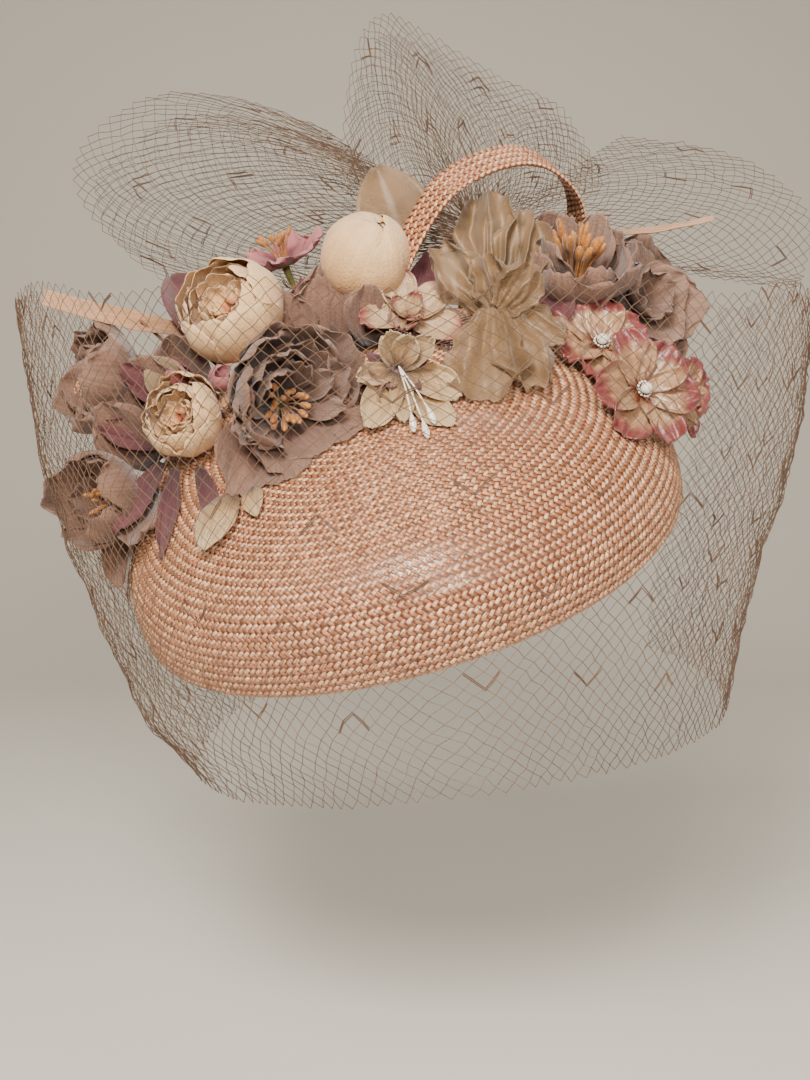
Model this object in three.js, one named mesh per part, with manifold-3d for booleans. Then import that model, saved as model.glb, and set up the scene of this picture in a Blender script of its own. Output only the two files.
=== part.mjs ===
// Fascinator headpiece: a tilted saucer crown of woven straw with a garden of silk,
// velvet and organza flowers, straw loops and a wrap of diamond-mesh veiling.
// Millimetres. +Z up as worn, -Y towards the face front, +X the wearer's left side.
// Left and right in names are as seen from the front. The origin is the centre of the
// crown's seat on the head.

import * as THREE from 'three';
import { mergeVertices } from 'three/addons/utils/BufferGeometryUtils.js';
import Module from 'manifold-3d';

const wasm = await Module();
wasm.setup();

// ---- crown ----
const crownHalfWidth = 100;
const crownHalfDepth = 92;
const crownHeight = 50;
const crownPower = 2.3;        // fullness of the dome
const crownSaddle = -8;        // sides droop, front and back lift
const crownWall = 1.6;
const crownForwardTilt = 32;   // degrees, front goes down
const crownSideTilt = 16.5;    // degrees, +X side goes up
const rimRoll = 4.2;           // radius of the turned-under edge
const roundSteps = 36;         // facets round the crown
const rimWireRadius = 0.8;
const liningWall = 0.6;
const bandInset = 17;          // headband wall inside the widest line
const bandHeight = 20;
const bandWall = 1.2;

// ---- clearances ----
const seatGap = 0.35;          // sewn or glued pieces that touch
const shellGap = 0.8;          // one faceted shell inside another
const hingeGap = 0.7;          // comb spine inside its tape

// ---- comb ----
const combLength = 62;
const combTeeth = 13;
const toothLength = 30;
const toothWidth = 1.8;
const spineHeight = 4.4;
const combThickness = 1.6;
const combSetBack = 9;         // spine from the headband wall
const combDrop = 7;            // spine above the seat plane
const tapeWidth = 8;
const tapeWall = 0.9;

// ---- elastic tabs ----
const tabWidth = 14;
const tabHeight = 17;
const tabThickness = 1.2;
const tabHoleRadius = 2.2;

// ---- flower stock ----
const petalWall = 1.1;
const stemRadius = 1.1;
const leafWireRadius = 0.9;
const calyxRadius = 3.2;
const calyxHeight = 4.5;

// ---- straw loops and veiling ----
const braidWidth = 12;
const braidWall = 1.4;
const netWall = 1;
const netStandOff = 9;         // front of the net ahead of the crown's front
const netHeight = 158;         // front drop from top edge to hem
const netTopZ = 77;
const netCentreY = 18;         // middle of the oval that the net stands on
const netFrom = -215;          // degrees round the crown where the net begins
const netTo = 35;
const netWaves = 9;
const netWaveDepth = 2.5;
const netHemTilt = 0.13 / 158; // lift for each mm of drop and mm to +X
const netBackLift = 6 / 158;   // lift for each mm of drop, at the back
const netSideFlare = 42;       // net beyond the crown's side, at the top edge
const netSquareness = 0.84;
const knotRadius = 6;
const wingLift = 25;           // how much the wing lifts as the crown doubles in width
const bowHeight = 108;
const bowWidth = 100;

const palette = {
  straw: [0xc49a80, 0.42],
  wire: [0xb9b4ac, 0.4],
  lining: [0xcdb9a0, 0.8],
  ribbon: [0xb79a86, 0.7],
  comb: [0xe8e2d4, 0.3],
  mauve: [0xa98e86, 0.85],
  cream: [0xe5cfb4, 0.8],
  plum: [0x5e3038, 0.9],
  organza: [0xc4ad8e, 0.6],
  satin: [0xdccdab, 0.35],
  velvet: [0xe8d6cc, 0.75],
  pink: [0xb5606f, 0.7],
  gold: [0xc08a3e, 0.6],
  green: [0xa9a040, 0.6],
  net: [0x7a6650, 0.7],
};

const part = new THREE.Group();
const crown = new THREE.Group();
crown.rotation.set(rad(crownForwardTilt), -rad(crownSideTilt), 0, 'YXZ');
part.add(crown);
crown.updateMatrixWorld(true);

function rad(degrees) {
  return (degrees * Math.PI) / 180;
}

function vec(x, y, z) {
  return new THREE.Vector3(x, y, z);
}

function addPiece(name, geometry, finish, parent = part) {
  const [color, roughness] = palette[finish];
  const metalness = finish === 'wire' ? 0.8 : 0;
  const material = new THREE.MeshStandardMaterial({ color, roughness, metalness });
  const mesh = new THREE.Mesh(outward(geometry), material);
  mesh.name = name;
  parent.add(mesh);
  return mesh;
}

// ---- geometry helpers ----

function merged(geometry) {
  const bare = geometry.clone();
  bare.deleteAttribute('normal');
  bare.deleteAttribute('uv');
  return mergeVertices(bare, 1e-4);
}

function signedVolume(geometry) {
  const at = geometry.getAttribute('position');
  const index = geometry.index.array;
  const a = vec(), b = vec(), c = vec();
  let sum = 0;
  for (let i = 0; i < index.length; i += 3) {
    a.fromBufferAttribute(at, index[i]);
    b.fromBufferAttribute(at, index[i + 1]);
    c.fromBufferAttribute(at, index[i + 2]);
    sum += a.dot(b.cross(c));
  }
  return sum;
}

// A closed geometry with its faces pointing out, whatever a mapping did to it.
function outward(geometry) {
  const solid = merged(geometry);
  if (signedVolume(solid) < 0) {
    const index = solid.index.array;
    for (let i = 0; i < index.length; i += 3) {
      [index[i + 1], index[i + 2]] = [index[i + 2], index[i + 1]];
    }
  }
  return solid;
}

function mapVertices(geometry, move) {
  const at = geometry.getAttribute('position');
  const point = vec();
  for (let i = 0; i < at.count; i += 1) {
    point.fromBufferAttribute(at, i);
    const moved = move(point);
    at.setXYZ(i, moved.x, moved.y, moved.z);
  }
  return geometry;
}

function toManifold(geometry) {
  const solid = outward(geometry);
  return new wasm.Manifold(new wasm.Mesh({
    numProp: 3,
    vertProperties: new Float32Array(solid.getAttribute('position').array),
    triVerts: new Uint32Array(solid.index.array),
  }));
}

function joined(...geometries) {
  const mesh = geometries.map(toManifold).reduce((whole, next) => whole.add(next)).getMesh();
  const geometry = new THREE.BufferGeometry();
  geometry.setAttribute('position', new THREE.BufferAttribute(mesh.vertProperties, 3));
  geometry.setIndex(new THREE.BufferAttribute(mesh.triVerts, 1));
  return geometry;
}

// Revolves a profile of [radius, height] pairs about +Z.
function turned(profile, segments) {
  const points = profile.map(([r, z]) => new THREE.Vector2(r, z));
  return new THREE.LatheGeometry(points, segments).rotateX(Math.PI / 2);
}

function tube(points, radius, steps, sides) {
  const section = new THREE.Shape();
  for (let i = 0; i < sides; i += 1) {
    const angle = (2 * Math.PI * i) / sides;
    const [x, y] = [radius * Math.cos(angle), radius * Math.sin(angle)];
    if (i === 0) section.moveTo(x, y);
    else section.lineTo(x, y);
  }
  const extrudePath = new THREE.CatmullRomCurve3(points);
  return new THREE.ExtrudeGeometry(section, { steps, bevelEnabled: false, extrudePath });
}

// A thin closed sheet: a divided box laid over surface(u, v), u and v from 0 to 1.
function sheet(surface, across, along, wall) {
  const step = 1e-3;
  const box = new THREE.BoxGeometry(1, 1, 1, across, along, 1);
  return mapVertices(box, (p) => {
    const [u, v] = [p.x + 0.5, p.y + 0.5];
    const du = surface(Math.min(u + step, 1), v).sub(surface(Math.max(u - step, 0), v));
    const dv = surface(u, Math.min(v + step, 1)).sub(surface(u, Math.max(v - step, 0)));
    const normal = du.cross(dv).normalize();
    return surface(u, v).addScaledVector(normal, p.z * wall);
  });
}

// ---- the crown's own surface ----

function domeHeight(share, height) {
  return height * (1 - share ** crownPower) ** (1 / crownPower);
}

function ovalPlace(radius, height, angle) {
  const share = radius / crownHalfWidth;
  const y = (radius * crownHalfDepth * Math.sin(angle)) / crownHalfWidth;
  const lift = crownSaddle * share ** 2 * Math.cos(2 * angle);
  return vec(radius * Math.cos(angle), y, height + lift);
}

// Turns a round geometry oval and gives it the crown's saddle.
function ovalled(geometry) {
  return mapVertices(geometry, (p) => (
    ovalPlace(Math.hypot(p.x, p.y), p.z, Math.atan2(p.y, p.x))));
}

function crownPoint(degrees, share) {
  const height = domeHeight(share, crownHeight);
  return ovalPlace(share * crownHalfWidth, height, rad(degrees)).applyMatrix4(crown.matrixWorld);
}

function crownNormal(degrees, share) {
  const step = 0.01;
  const inner = crownPoint(degrees, share - step);
  const outer = crownPoint(degrees, Math.min(share + step, 1));
  const left = crownPoint(degrees - 1, share);
  const right = crownPoint(degrees + 1, share);
  return outer.sub(inner).cross(right.sub(left)).normalize();
}

function above(degrees, share, lift) {
  return crownPoint(degrees, share).addScaledVector(crownNormal(degrees, share), lift);
}

function domeProfile(drop, rings) {
  const points = [];
  for (let i = 0; i <= rings; i += 1) {
    const share = Math.sin((i / rings) * (Math.PI / 2));
    const radius = share * (crownHalfWidth - drop);
    points.push([radius, domeHeight(share, crownHeight - drop)]);
  }
  return points;
}

function rollProfile(wall) {
  const radius = rimRoll - wall;
  const points = [];
  for (let i = 1; i <= 4; i += 1) {
    const angle = (-i * Math.PI) / 5;
    points.push([
      crownHalfWidth - rimRoll + radius * Math.cos(angle),
      radius * Math.sin(angle),
    ]);
  }
  return points;
}

function makeCrown() {
  const outer = [...domeProfile(0, 7), ...rollProfile(0)];
  const inner = [...domeProfile(crownWall, 7), ...rollProfile(crownWall)].reverse();
  addPiece('straw_crown', ovalled(turned([...outer, ...inner], roundSteps)), 'straw', crown);

  // The wire lies in the roll, against its outer wall.
  const ringRadius = crownHalfWidth - crownWall - shellGap - rimWireRadius;
  const wire = [];
  for (let i = 0; i <= 5; i += 1) {
    const angle = (2 * Math.PI * i) / 5;
    wire.push([ringRadius + rimWireRadius * Math.cos(angle), rimWireRadius * Math.sin(angle)]);
  }
  addPiece('rim_wire', ovalled(turned(wire, roundSteps)), 'wire', crown);
}

function makeLining() {
  const drop = crownWall + shellGap;
  const edge = 1 - bandInset / crownHalfWidth;
  const reach = (wallDrop) => domeProfile(wallDrop, 7).filter(([r]) => r < edge * crownHalfWidth);
  const outer = reach(drop);
  const inner = reach(drop + liningWall).reverse();
  addPiece('crown_lining', ovalled(turned([...outer, ...inner], roundSteps)), 'lining', crown);
}

const bandRadius = crownHalfWidth - bandInset;

function makeHeadband() {
  // The band's lower edge is folded out under the crown's turned-in edge and sewn there.
  const foldReach = crownHalfWidth - rimRoll - 1;
  const foldTop = -rimRoll - seatGap;
  const profile = [
    [bandRadius, foldTop], [bandRadius, bandHeight],
    [bandRadius - bandWall, bandHeight], [bandRadius - bandWall, foldTop - bandWall],
    [foldReach, foldTop - bandWall], [foldReach, foldTop], [bandRadius, foldTop],
  ];
  addPiece('headband_ribbon', ovalled(turned(profile, roundSteps)), 'ribbon', crown);
}

// ---- comb, hinged in two tapes sewn to the front of the headband ----

const spineY = -((bandRadius - bandWall) * crownHalfDepth) / crownHalfWidth + combSetBack;

function makeComb() {
  const half = combLength / 2;
  const pitch = (combLength - toothWidth) / (combTeeth - 1);
  const outline = new THREE.Shape();
  outline.moveTo(-half, -spineHeight / 2);
  outline.lineTo(half, -spineHeight / 2);
  for (let i = combTeeth - 1; i >= 0; i -= 1) {
    const right = -half + i * pitch + toothWidth;
    outline.lineTo(right, spineHeight / 2);
    outline.lineTo(right - toothWidth * 0.25, toothLength);
    outline.lineTo(right - toothWidth * 0.75, toothLength);
    outline.lineTo(right - toothWidth, spineHeight / 2);
  }
  outline.lineTo(-half, -spineHeight / 2);
  const comb = new THREE.ExtrudeGeometry(outline, { depth: combThickness, bevelEnabled: false });
  comb.translate(0, spineY, combDrop - combThickness / 2);
  addPiece('hair_comb', comb, 'comb', crown);

  const bore = Math.hypot(spineHeight, combThickness) / 2 + hingeGap;
  ['left', 'right'].forEach((side) => {
    const x = (side === 'left' ? -1 : 1) * (half - tapeWidth);
    const ring = turned([
      [bore, -tapeWidth / 2], [bore + tapeWall, -tapeWidth / 2],
      [bore + tapeWall, tapeWidth / 2], [bore, tapeWidth / 2], [bore, -tapeWidth / 2],
    ], 12).rotateY(Math.PI / 2).translate(x, spineY, combDrop);
    const wallY = -((bandRadius - bandWall) * crownHalfDepth) / crownHalfWidth;
    const reach = wallY * Math.sqrt(1 - ((Math.abs(x) + tapeWidth / 2) / bandRadius) ** 2);
    const near = spineY - bore - tapeWall / 2;
    const far = reach + seatGap;
    const tang = new THREE.BoxGeometry(tapeWidth - 1, near - far, tapeWall);
    tang.translate(x, (near + far) / 2, combDrop);
    addPiece(`comb_tape_${side}`, joined(toothCut(ring, x), tang), 'ribbon', crown);
  });
}

// The tape's ring is open on the teeth's side, where the stitches leave the comb free.
function toothCut(ring, x) {
  const depth = spineHeight * 4;
  const slot = new THREE.BoxGeometry(tapeWidth * 2, depth, depth).translate(
    x, spineY + depth / 2 + spineHeight * 0.25, combDrop);
  const mesh = toManifold(ring).subtract(toManifold(slot)).getMesh();
  const geometry = new THREE.BufferGeometry();
  geometry.setAttribute('position', new THREE.BufferAttribute(mesh.vertProperties, 3));
  geometry.setIndex(new THREE.BufferAttribute(mesh.triVerts, 1));
  return geometry;
}

// ---- tabs that the head elastic ties to ----

function makeElasticTabs() {
  ['left', 'right'].forEach((side) => {
    const sign = side === 'left' ? -1 : 1;
    const outline = new THREE.Shape();
    outline.moveTo(-tabWidth / 2, 0);
    outline.lineTo(tabWidth / 2, 0);
    outline.lineTo(tabWidth / 2, tabHeight);
    outline.lineTo(-tabWidth / 2, tabHeight);
    const hole = new THREE.Path();
    hole.absarc(0, tabHoleRadius + 2, tabHoleRadius, 0, 2 * Math.PI, true);
    outline.holes.push(hole);
    const tab = new THREE.ExtrudeGeometry(outline, {
      depth: tabThickness, bevelEnabled: false, curveSegments: 6,
    });
    // Sides of the oval bend away, so a flat tab keeps clear by the bow of its own width.
    const bow = (tabWidth / 2) ** 2 / (2 * bandRadius) + seatGap;
    tab.rotateX(Math.PI / 2).rotateZ(Math.PI / 2);
    const inside = bandRadius - bandWall - bow - seatGap - tabThickness;
    const low = crownSaddle * (bandRadius / crownHalfWidth) ** 2 + 1;
    tab.translate(sign > 0 ? inside : -inside - tabThickness, 0, low);
    addPiece(`elastic_tab_${side}`, tab, 'ribbon', crown);
  });
}

// ---- flowers ----

// A cup whose wall rises as the radius to a power, with lobes for its petals.
function cup({ radius, height, lobes = 5, ruffle = 0.08, power = 2.5, base = 0, wall = petalWall }) {
  const rings = 3;
  const outer = [];
  const inner = [];
  for (let i = 0; i <= rings; i += 1) {
    const share = i / rings;
    const slope = Math.atan2(height * power * share ** (power - 1), radius);
    const [r, z] = [share * radius, base + height * share ** power];
    outer.push([r, z]);
    inner.unshift([Math.max(r - wall * Math.sin(slope), 0), z + wall * Math.cos(slope)]);
  }
  return mapVertices(turned([...outer, ...inner], lobes * 3), (p) => {
    const angle = Math.atan2(p.y, p.x);
    const swell = 1 + ruffle * Math.cos(lobes * angle) * (Math.hypot(p.x, p.y) / radius) ** 2;
    return vec(p.x * swell, p.y * swell, p.z);
  });
}

function knob(radius, height, base) {
  const profile = [[0, base], [radius * 0.45, base], [radius, base + height * 0.6],
    [radius * 0.6, base + height * 0.95], [0, base + height]];
  return turned(profile, 9);
}

function facingTurn(direction) {
  const turn = new THREE.Quaternion();
  return turn.setFromUnitVectors(vec(0, 0, 1), vec(...direction).normalize());
}

// spot: where on the crown (degrees round, share out), how high the base is, where it looks.
function placed(geometry, spot) {
  const base = above(spot.round, spot.out, spot.lift);
  const matrix = new THREE.Matrix4().compose(base, facingTurn(spot.looks), vec(1, 1, 1));
  return geometry.applyMatrix4(matrix);
}

function calyxAndStem(spot, top = -seatGap) {
  const cone = placed(turned([
    [0, -calyxHeight], [stemRadius, -calyxHeight], [calyxRadius, top], [0, top],
  ], 7), spot);
  const base = above(spot.round, spot.out, spot.lift);
  const back = vec(...spot.looks).normalize().multiplyScalar(-calyxHeight * 0.6);
  const start = base.add(back);
  const foot = above(spot.round, spot.out, seatGap);
  const middle = start.clone().lerp(foot, 0.5);
  return joined(cone, tube([start, middle, foot], stemRadius, 2, 5));
}

// A plain flower that is one piece with its own stem.
function makeWiredFlower(name, spot, finish, outer) {
  addPiece(name, joined(placed(cup(outer), spot), calyxAndStem(spot, petalWall / 2)), finish);
}

function makeFlower(name, spot, { finish, outer, inner, heart, heartFinish }) {
  addPiece(`${name}_petals`, placed(cup(outer), spot), finish);
  addPiece(`${name}_stem`, calyxAndStem(spot), 'green');
  let floor = petalWall + shellGap;
  if (inner) {
    addPiece(`${name}_inner`, placed(cup({ ...inner, base: floor }), spot), finish);
    floor += petalWall + shellGap;
  }
  if (heart) {
    addPiece(`${name}_heart`, placed(knob(heart[0], heart[1], floor), spot), heartFinish);
  }
}

const spots = {
  centrePeony: { round: 180, out: 0.26, lift: 8, looks: [-0.15, -0.8, 0.55] },
  rightPeony: { round: 29, out: 0.83, lift: 15, looks: [0.05, -0.5, 0.87] },
  lowLeftPeony: { round: 165, out: 0.9, lift: 6, looks: [-0.45, -0.9, 0] },
  leftPeony: { round: 143, out: 0.84, lift: 24, looks: [-0.75, -0.55, 0.1] },
  farRightPeony: { round: 29, out: 0.97, lift: 21, looks: [0.85, -0.45, 0.3] },
  topRose: { round: 119, out: 0.61, lift: 13, looks: [-0.25, -0.75, 0.6] },
  leftRose: { round: 160, out: 0.6, lift: 5.5, looks: [-0.3, -0.9, 0.3] },
  creamBud: { round: 84, out: 0.58, lift: 14, looks: [-0.05, -0.5, 0.85] },
  backBloom: { round: 99, out: 0.82, lift: 27, looks: [-0.3, -0.3, 0.9] },
  pinkSatin: { round: 57, out: 0.4, lift: 8, looks: [0, -0.75, 0.65] },
  satinBell: { round: 355, out: 0.14, lift: 8, looks: [0.15, -0.85, 0.45] },
  velvetUpper: { round: 9, out: 0.8, lift: 8, looks: [0.1, -0.75, 0.65] },
  velvetLower: { round: 351, out: 0.86, lift: 8, looks: [0.4, -0.85, 0.3] },
  velvetSide: { round: 9, out: 0.99, lift: 14, looks: [0.8, -0.6, 0.1] },
  velvetTip: { round: 357, out: 0.96, lift: 9, looks: [0.85, -0.5, 0.1] },
};

function makePeonies() {
  makeFlower('centre_peony', spots.centrePeony, {
    finish: 'mauve', outer: { radius: 25, height: 17, lobes: 5 },
    inner: { radius: 16, height: 16, lobes: 4 }, heart: [5, 12], heartFinish: 'gold',
  });
  makeFlower('right_peony', spots.rightPeony, {
    finish: 'mauve', outer: { radius: 23, height: 20, lobes: 5 },
    inner: { radius: 15, height: 18, lobes: 4 }, heart: [5, 15], heartFinish: 'gold',
  });
  makeFlower('low_left_peony', spots.lowLeftPeony, {
    finish: 'mauve', outer: { radius: 15, height: 18, lobes: 4 },
    inner: { radius: 9, height: 14, lobes: 3 }, heart: [3.2, 12], heartFinish: 'gold',
  });
  makeWiredFlower('left_peony', spots.leftPeony, 'mauve',
    { radius: 15, height: 20, lobes: 4, ruffle: 0.05 });
  makeWiredFlower('far_right_peony', spots.farRightPeony, 'mauve',
    { radius: 20, height: 12, lobes: 4 });
}

function makeRoses() {
  makeFlower('top_rose', spots.topRose, {
    finish: 'cream', outer: { radius: 18, height: 20, lobes: 4, ruffle: 0.03, power: 3.5 },
    heart: [11, 17], heartFinish: 'cream',
  });
  makeFlower('left_rose', spots.leftRose, {
    finish: 'cream', outer: { radius: 12.5, height: 14, lobes: 4, ruffle: 0.03, power: 3.5 },
    heart: [7.5, 12], heartFinish: 'cream',
  });
  const bud = knob(16, 31, 0);
  const spot = spots.creamBud;
  addPiece('cream_bud_petals', placed(bud, spot), 'cream');
  addPiece('cream_bud_stem', calyxAndStem(spot), 'green');
  const back = spots.backBloom;
  makeWiredFlower('back_bloom', back, 'pink', { radius: 15, height: 9, lobes: 5 });
  addPiece('back_bloom_heart', placed(knob(3, 9, petalWall + shellGap), back), 'gold');
}

function makeSmallBlossoms() {
  makeWiredFlower('pink_satin_blossom', spots.pinkSatin, 'satin', { radius: 15, height: 7 });
  const bell = spots.satinBell;
  addPiece('satin_bell_petals', placed(cup({ radius: 15, height: 6 }), bell), 'satin');
  addPiece('satin_bell_stem', calyxAndStem(bell), 'plum');
  const beads = knob(2.6, 12, petalWall + shellGap);
  addPiece('satin_bell_stamens', placed(beads, bell), 'comb');
  [['velvet_upper', spots.velvetUpper, 13], ['velvet_lower', spots.velvetLower, 14],
    ['velvet_side', spots.velvetSide, 8], ['velvet_tip', spots.velvetTip, 8],
  ].forEach(([name, spot, radius]) => {
    makeWiredFlower(name, spot, 'velvet', { radius, height: radius * 0.35, ruffle: 0.1 });
  });
  [['velvet_upper_bead', spots.velvetUpper], ['velvet_lower_bead', spots.velvetLower]]
    .forEach(([name, spot]) => {
      addPiece(name, placed(knob(2.2, 3, petalWall + shellGap), spot), 'comb');
    });
}

// ---- leaves, organza and buds ----

// A pointed leaf from base to tip, folded along its midrib.
function leaf({ base, tip, faces, width, fold = 0.25, droop = 0, wall = 1 }) {
  const run = tip.clone().sub(base);
  const length = run.length();
  const along = run.normalize();
  const side = vec(...faces).cross(along).normalize();
  const face = along.clone().cross(side).normalize();
  return sheet((u, v) => {
    const half = (width / 2) * Math.max(Math.sin(Math.PI * Math.min(v * 0.94 + 0.03, 0.97)), 0.06);
    const across = (u - 0.5) * 2;
    const lift = Math.abs(across) * half * fold * 2 - droop * Math.sin(Math.PI * v);
    return base.clone().addScaledVector(along, v * length)
      .addScaledVector(side, across * half).addScaledVector(face, lift);
  }, 2, 6, wall);
}

// A leaf on its own wire, which is sewn down to the crown at the leaf's foot.
function wiredLeaf(name, finish, root, tip, shape) {
  const [round, out, lift] = root;
  const base = above(round, out, lift);
  const blade = leaf({ base, tip: above(...tip), ...shape });
  const inside = base.clone().lerp(above(...tip), 0.12);
  const foot = above(round, out, seatGap);
  const wire = tube([inside, base.clone().lerp(foot, 0.5), foot], leafWireRadius, 4, 5);
  addPiece(name, joined(blade, wire), finish);
}

function makeLeaves() {
  wiredLeaf('plum_leaf', 'plum', [130, 0.69, 8], [121, 0.82, 44],
    { faces: [0.2, -1, 0.1], width: 18, fold: 0.4 });
  addPiece('satin_leaf', leaf({
    base: above(210, 0.55, 1.3), tip: above(217, 0.74, 1.6), faces: [-0.4, -0.7, 0.5], width: 13,
  }), 'satin');
  wiredLeaf('hydrangea_petal', 'organza', [147, 0.68, 12], [145, 0.7, 30],
    { faces: [-0.2, -1, 0.2], width: 12 });
  wiredLeaf('organza_leaf_back', 'organza', [74, 0.9, 22], [78, 0.88, 56],
    { faces: [0, -1, 0.2], width: 24 });
  wiredLeaf('quill_left', 'straw', [135, 0.73, 36], [143, 0.81, 69],
    { faces: [0, -0.4, 1], width: 8, fold: 0.1 });
  wiredLeaf('quill_right', 'straw', [38, 0.91, 38], [23, 0.95, 64],
    { faces: [0, -0.4, 1], width: 8, fold: 0.1 });
  const budFoot = above(150, 0.57, seatGap);
  const budTop = above(150, 0.57, 14);
  const buds = [-4, 4].map((x) => new THREE.SphereGeometry(3.4, 8, 6).translate(
    budTop.x + x * 1.05, budTop.y - 1, budTop.z + 2));
  const twig = tube([budFoot, budFoot.clone().lerp(budTop, 0.5), budTop.clone()], 1, 3, 6);
  const fork = tube([-4, 0, 4].map((x) => vec(budTop.x + x, budTop.y - 0.5, budTop.z + 0.5)),
    1, 3, 6);
  addPiece('pink_buds', joined(twig, fork, ...buds), 'pink');
}

function organzaFan(spot, turn, reach, spread) {
  const base = above(spot.round, spot.out, spot.lift);
  const out = vec(...spot.looks).normalize();
  const up = vec(...turn).normalize();
  const side = up.clone().cross(out).normalize();
  return sheet((u, v) => {
    const angle = (u - 0.5) * spread;
    const far = 4 + v * reach * (1 + 0.12 * Math.cos(angle * 5));
    return base.clone().addScaledVector(up, far * Math.cos(angle))
      .addScaledVector(side, far * Math.sin(angle))
      .addScaledVector(out, 5 * v * v + 1.5 * v * Math.sin(angle * 6));
  }, 9, 3, 1);
}

function makeOrganza() {
  const spot = { round: 22, out: 0.46, lift: 14, looks: [0, -0.9, 0.3] };
  const rise = [-0.15, -0.1, 1];
  const inside = above(spot.round, spot.out, spot.lift).addScaledVector(vec(...rise), 8);
  const foot = above(spot.round, spot.out, seatGap);
  const wire = tube([inside, inside.clone().lerp(foot, 0.5), foot], leafWireRadius, 3, 5);
  addPiece('organza_ruffle_back', joined(organzaFan(spot, rise, 30, 1.5), wire), 'organza');
  // the front ruffle lifts a little with a taller crown, to clear the satin bell below it
  const low = { round: 18, out: 0.45, lift: crownHeight / 5 + 2, looks: [0.05, -0.6, 0.8] };
  addPiece('organza_ruffle_front', organzaFan(low, [0.15, -0.65, -0.75], 24, 1.4), 'organza');
}

// ---- straw loops ----

// A flat braid that rises from one foot on the crown, arches over and comes down to another.
// The arch lies in the plane of across and up; the braid narrows where it is sewn down.
function braidLoop({ feet, centre, across, up, halfSpan, rise, start, end }) {
  const a = vec(...across).normalize();
  const b = vec(...up).normalize();
  const axis = a.clone().cross(b).normalize();
  const arch = [0, 0.25, 0.5, 0.75, 1].map((share) => {
    const angle = rad(start + (end - start) * share);
    return centre.clone().addScaledVector(a, halfSpan * Math.cos(angle))
      .addScaledVector(b, rise * Math.sin(angle));
  });
  const footLift = braidWall / 2 + seatGap;
  const [first, last] = feet.map(([round, out]) => above(round, out, footLift));
  const path = new THREE.CatmullRomCurve3([first, ...arch, last]);
  return sheet((u, v) => {
    const taper = Math.min(1, 0.2 + 6 * Math.min(v, 1 - v));
    return path.getPoint(v).addScaledVector(axis, (u - 0.5) * braidWidth * taper);
  }, 1, 22, braidWall);
}

function makeLoops() {
  addPiece('straw_loop_top', braidLoop({
    feet: [[72, 0.66], [47, 0.95]],
    centre: above(51, 0.79, 19), across: [0.85, 0.5, 0], up: [0.25, -0.5, 0.83],
    halfSpan: 37, rise: 42, start: 185, end: -8,
  }), 'straw');
  addPiece('straw_loop_left', braidLoop({
    feet: [[143, 0.97], [126, 0.9]],
    centre: above(131, 0.9, 37), across: [-0.9, -0.25, 0.1], up: [-0.1, -0.2, 0.97],
    halfSpan: 21, rise: 20, start: -20, end: 150,
  }), 'straw');
}

// ---- veiling ----

// Rings of the net from top edge to hem: [drop, side reach, front, shift to +X],
// with reach and front counted from the crown's own side and front.
// They clear the crown, so a longer net only lowers its hem.
const netRings = [
  [0, netSideFlare, -23, 6],
  [47.4, netSideFlare - 6, -10, 7.5],
  [79, netSideFlare - 15, 2, 9],
  [97.96, netSideFlare - 23, 6, 10],
  [134.3, netSideFlare - 35, netStandOff, 14],
  [netHeight, netSideFlare - 47, netStandOff - 3, 22],
];

function ringValue(drop, column) {
  const places = netRings.map((ring) => vec(ring[0], ring[column], 0));
  for (let i = 1; i < places.length; i += 1) {
    if (drop <= places[i].x || i === places.length - 1) {
      const share = (drop - places[i - 1].x) / (places[i].x - places[i - 1].x);
      return places[i - 1].y + (places[i].y - places[i - 1].y) * share;
    }
  }
  return 0;
}

// The tilted crown's wall bulges furthest forward a little above its rim.
const crownFrontY = Math.min(...[0.85, 0.9, 0.95, 1].map((share) => crownPoint(258, share).y));

// Squares an oval off a little, as stiff net stands away from the corners it wraps.
function squared(value) {
  return Math.sign(value) * Math.abs(value) ** netSquareness;
}

function netSurface(u, v) {
  const angle = rad(netFrom + (netTo - netFrom) * u);
  const drop = v * netHeight;
  const halfX = crownHalfWidth + ringValue(drop, 1);
  const halfY = netCentreY - crownFrontY + ringValue(drop, 2);
  const x = ringValue(drop, 3) + halfX * squared(Math.cos(angle));
  const y = netCentreY + halfY * squared(Math.sin(angle));
  const wave = netWaveDepth * Math.sin(netWaves * angle) * (1 - v);
  const hemLift = drop * (netHemTilt * x + netBackLift * Math.max(Math.sin(angle), 0));
  return vec(x, y, netTopZ - drop + hemLift + wave);
}

// A gathered fan of net: a narrow root that opens to a wide edge.
function netFan(root, corners, folds, across, along) {
  const edge = new THREE.CatmullRomCurve3(corners);
  const mouth = 5;
  return sheet((u, v) => {
    const far = edge.getPoint(u);
    const side = corners[corners.length - 1].clone().sub(corners[0]).normalize();
    const near = root.clone().addScaledVector(side, (u - 0.5) * 2 * mouth);
    const flow = v ** 0.8;
    const point = near.lerp(far, flow);
    point.y += folds * Math.sin(u * Math.PI * 5) * v * (1.15 - v) * 2;
    return point;
  }, across, along, netWall);
}

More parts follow.
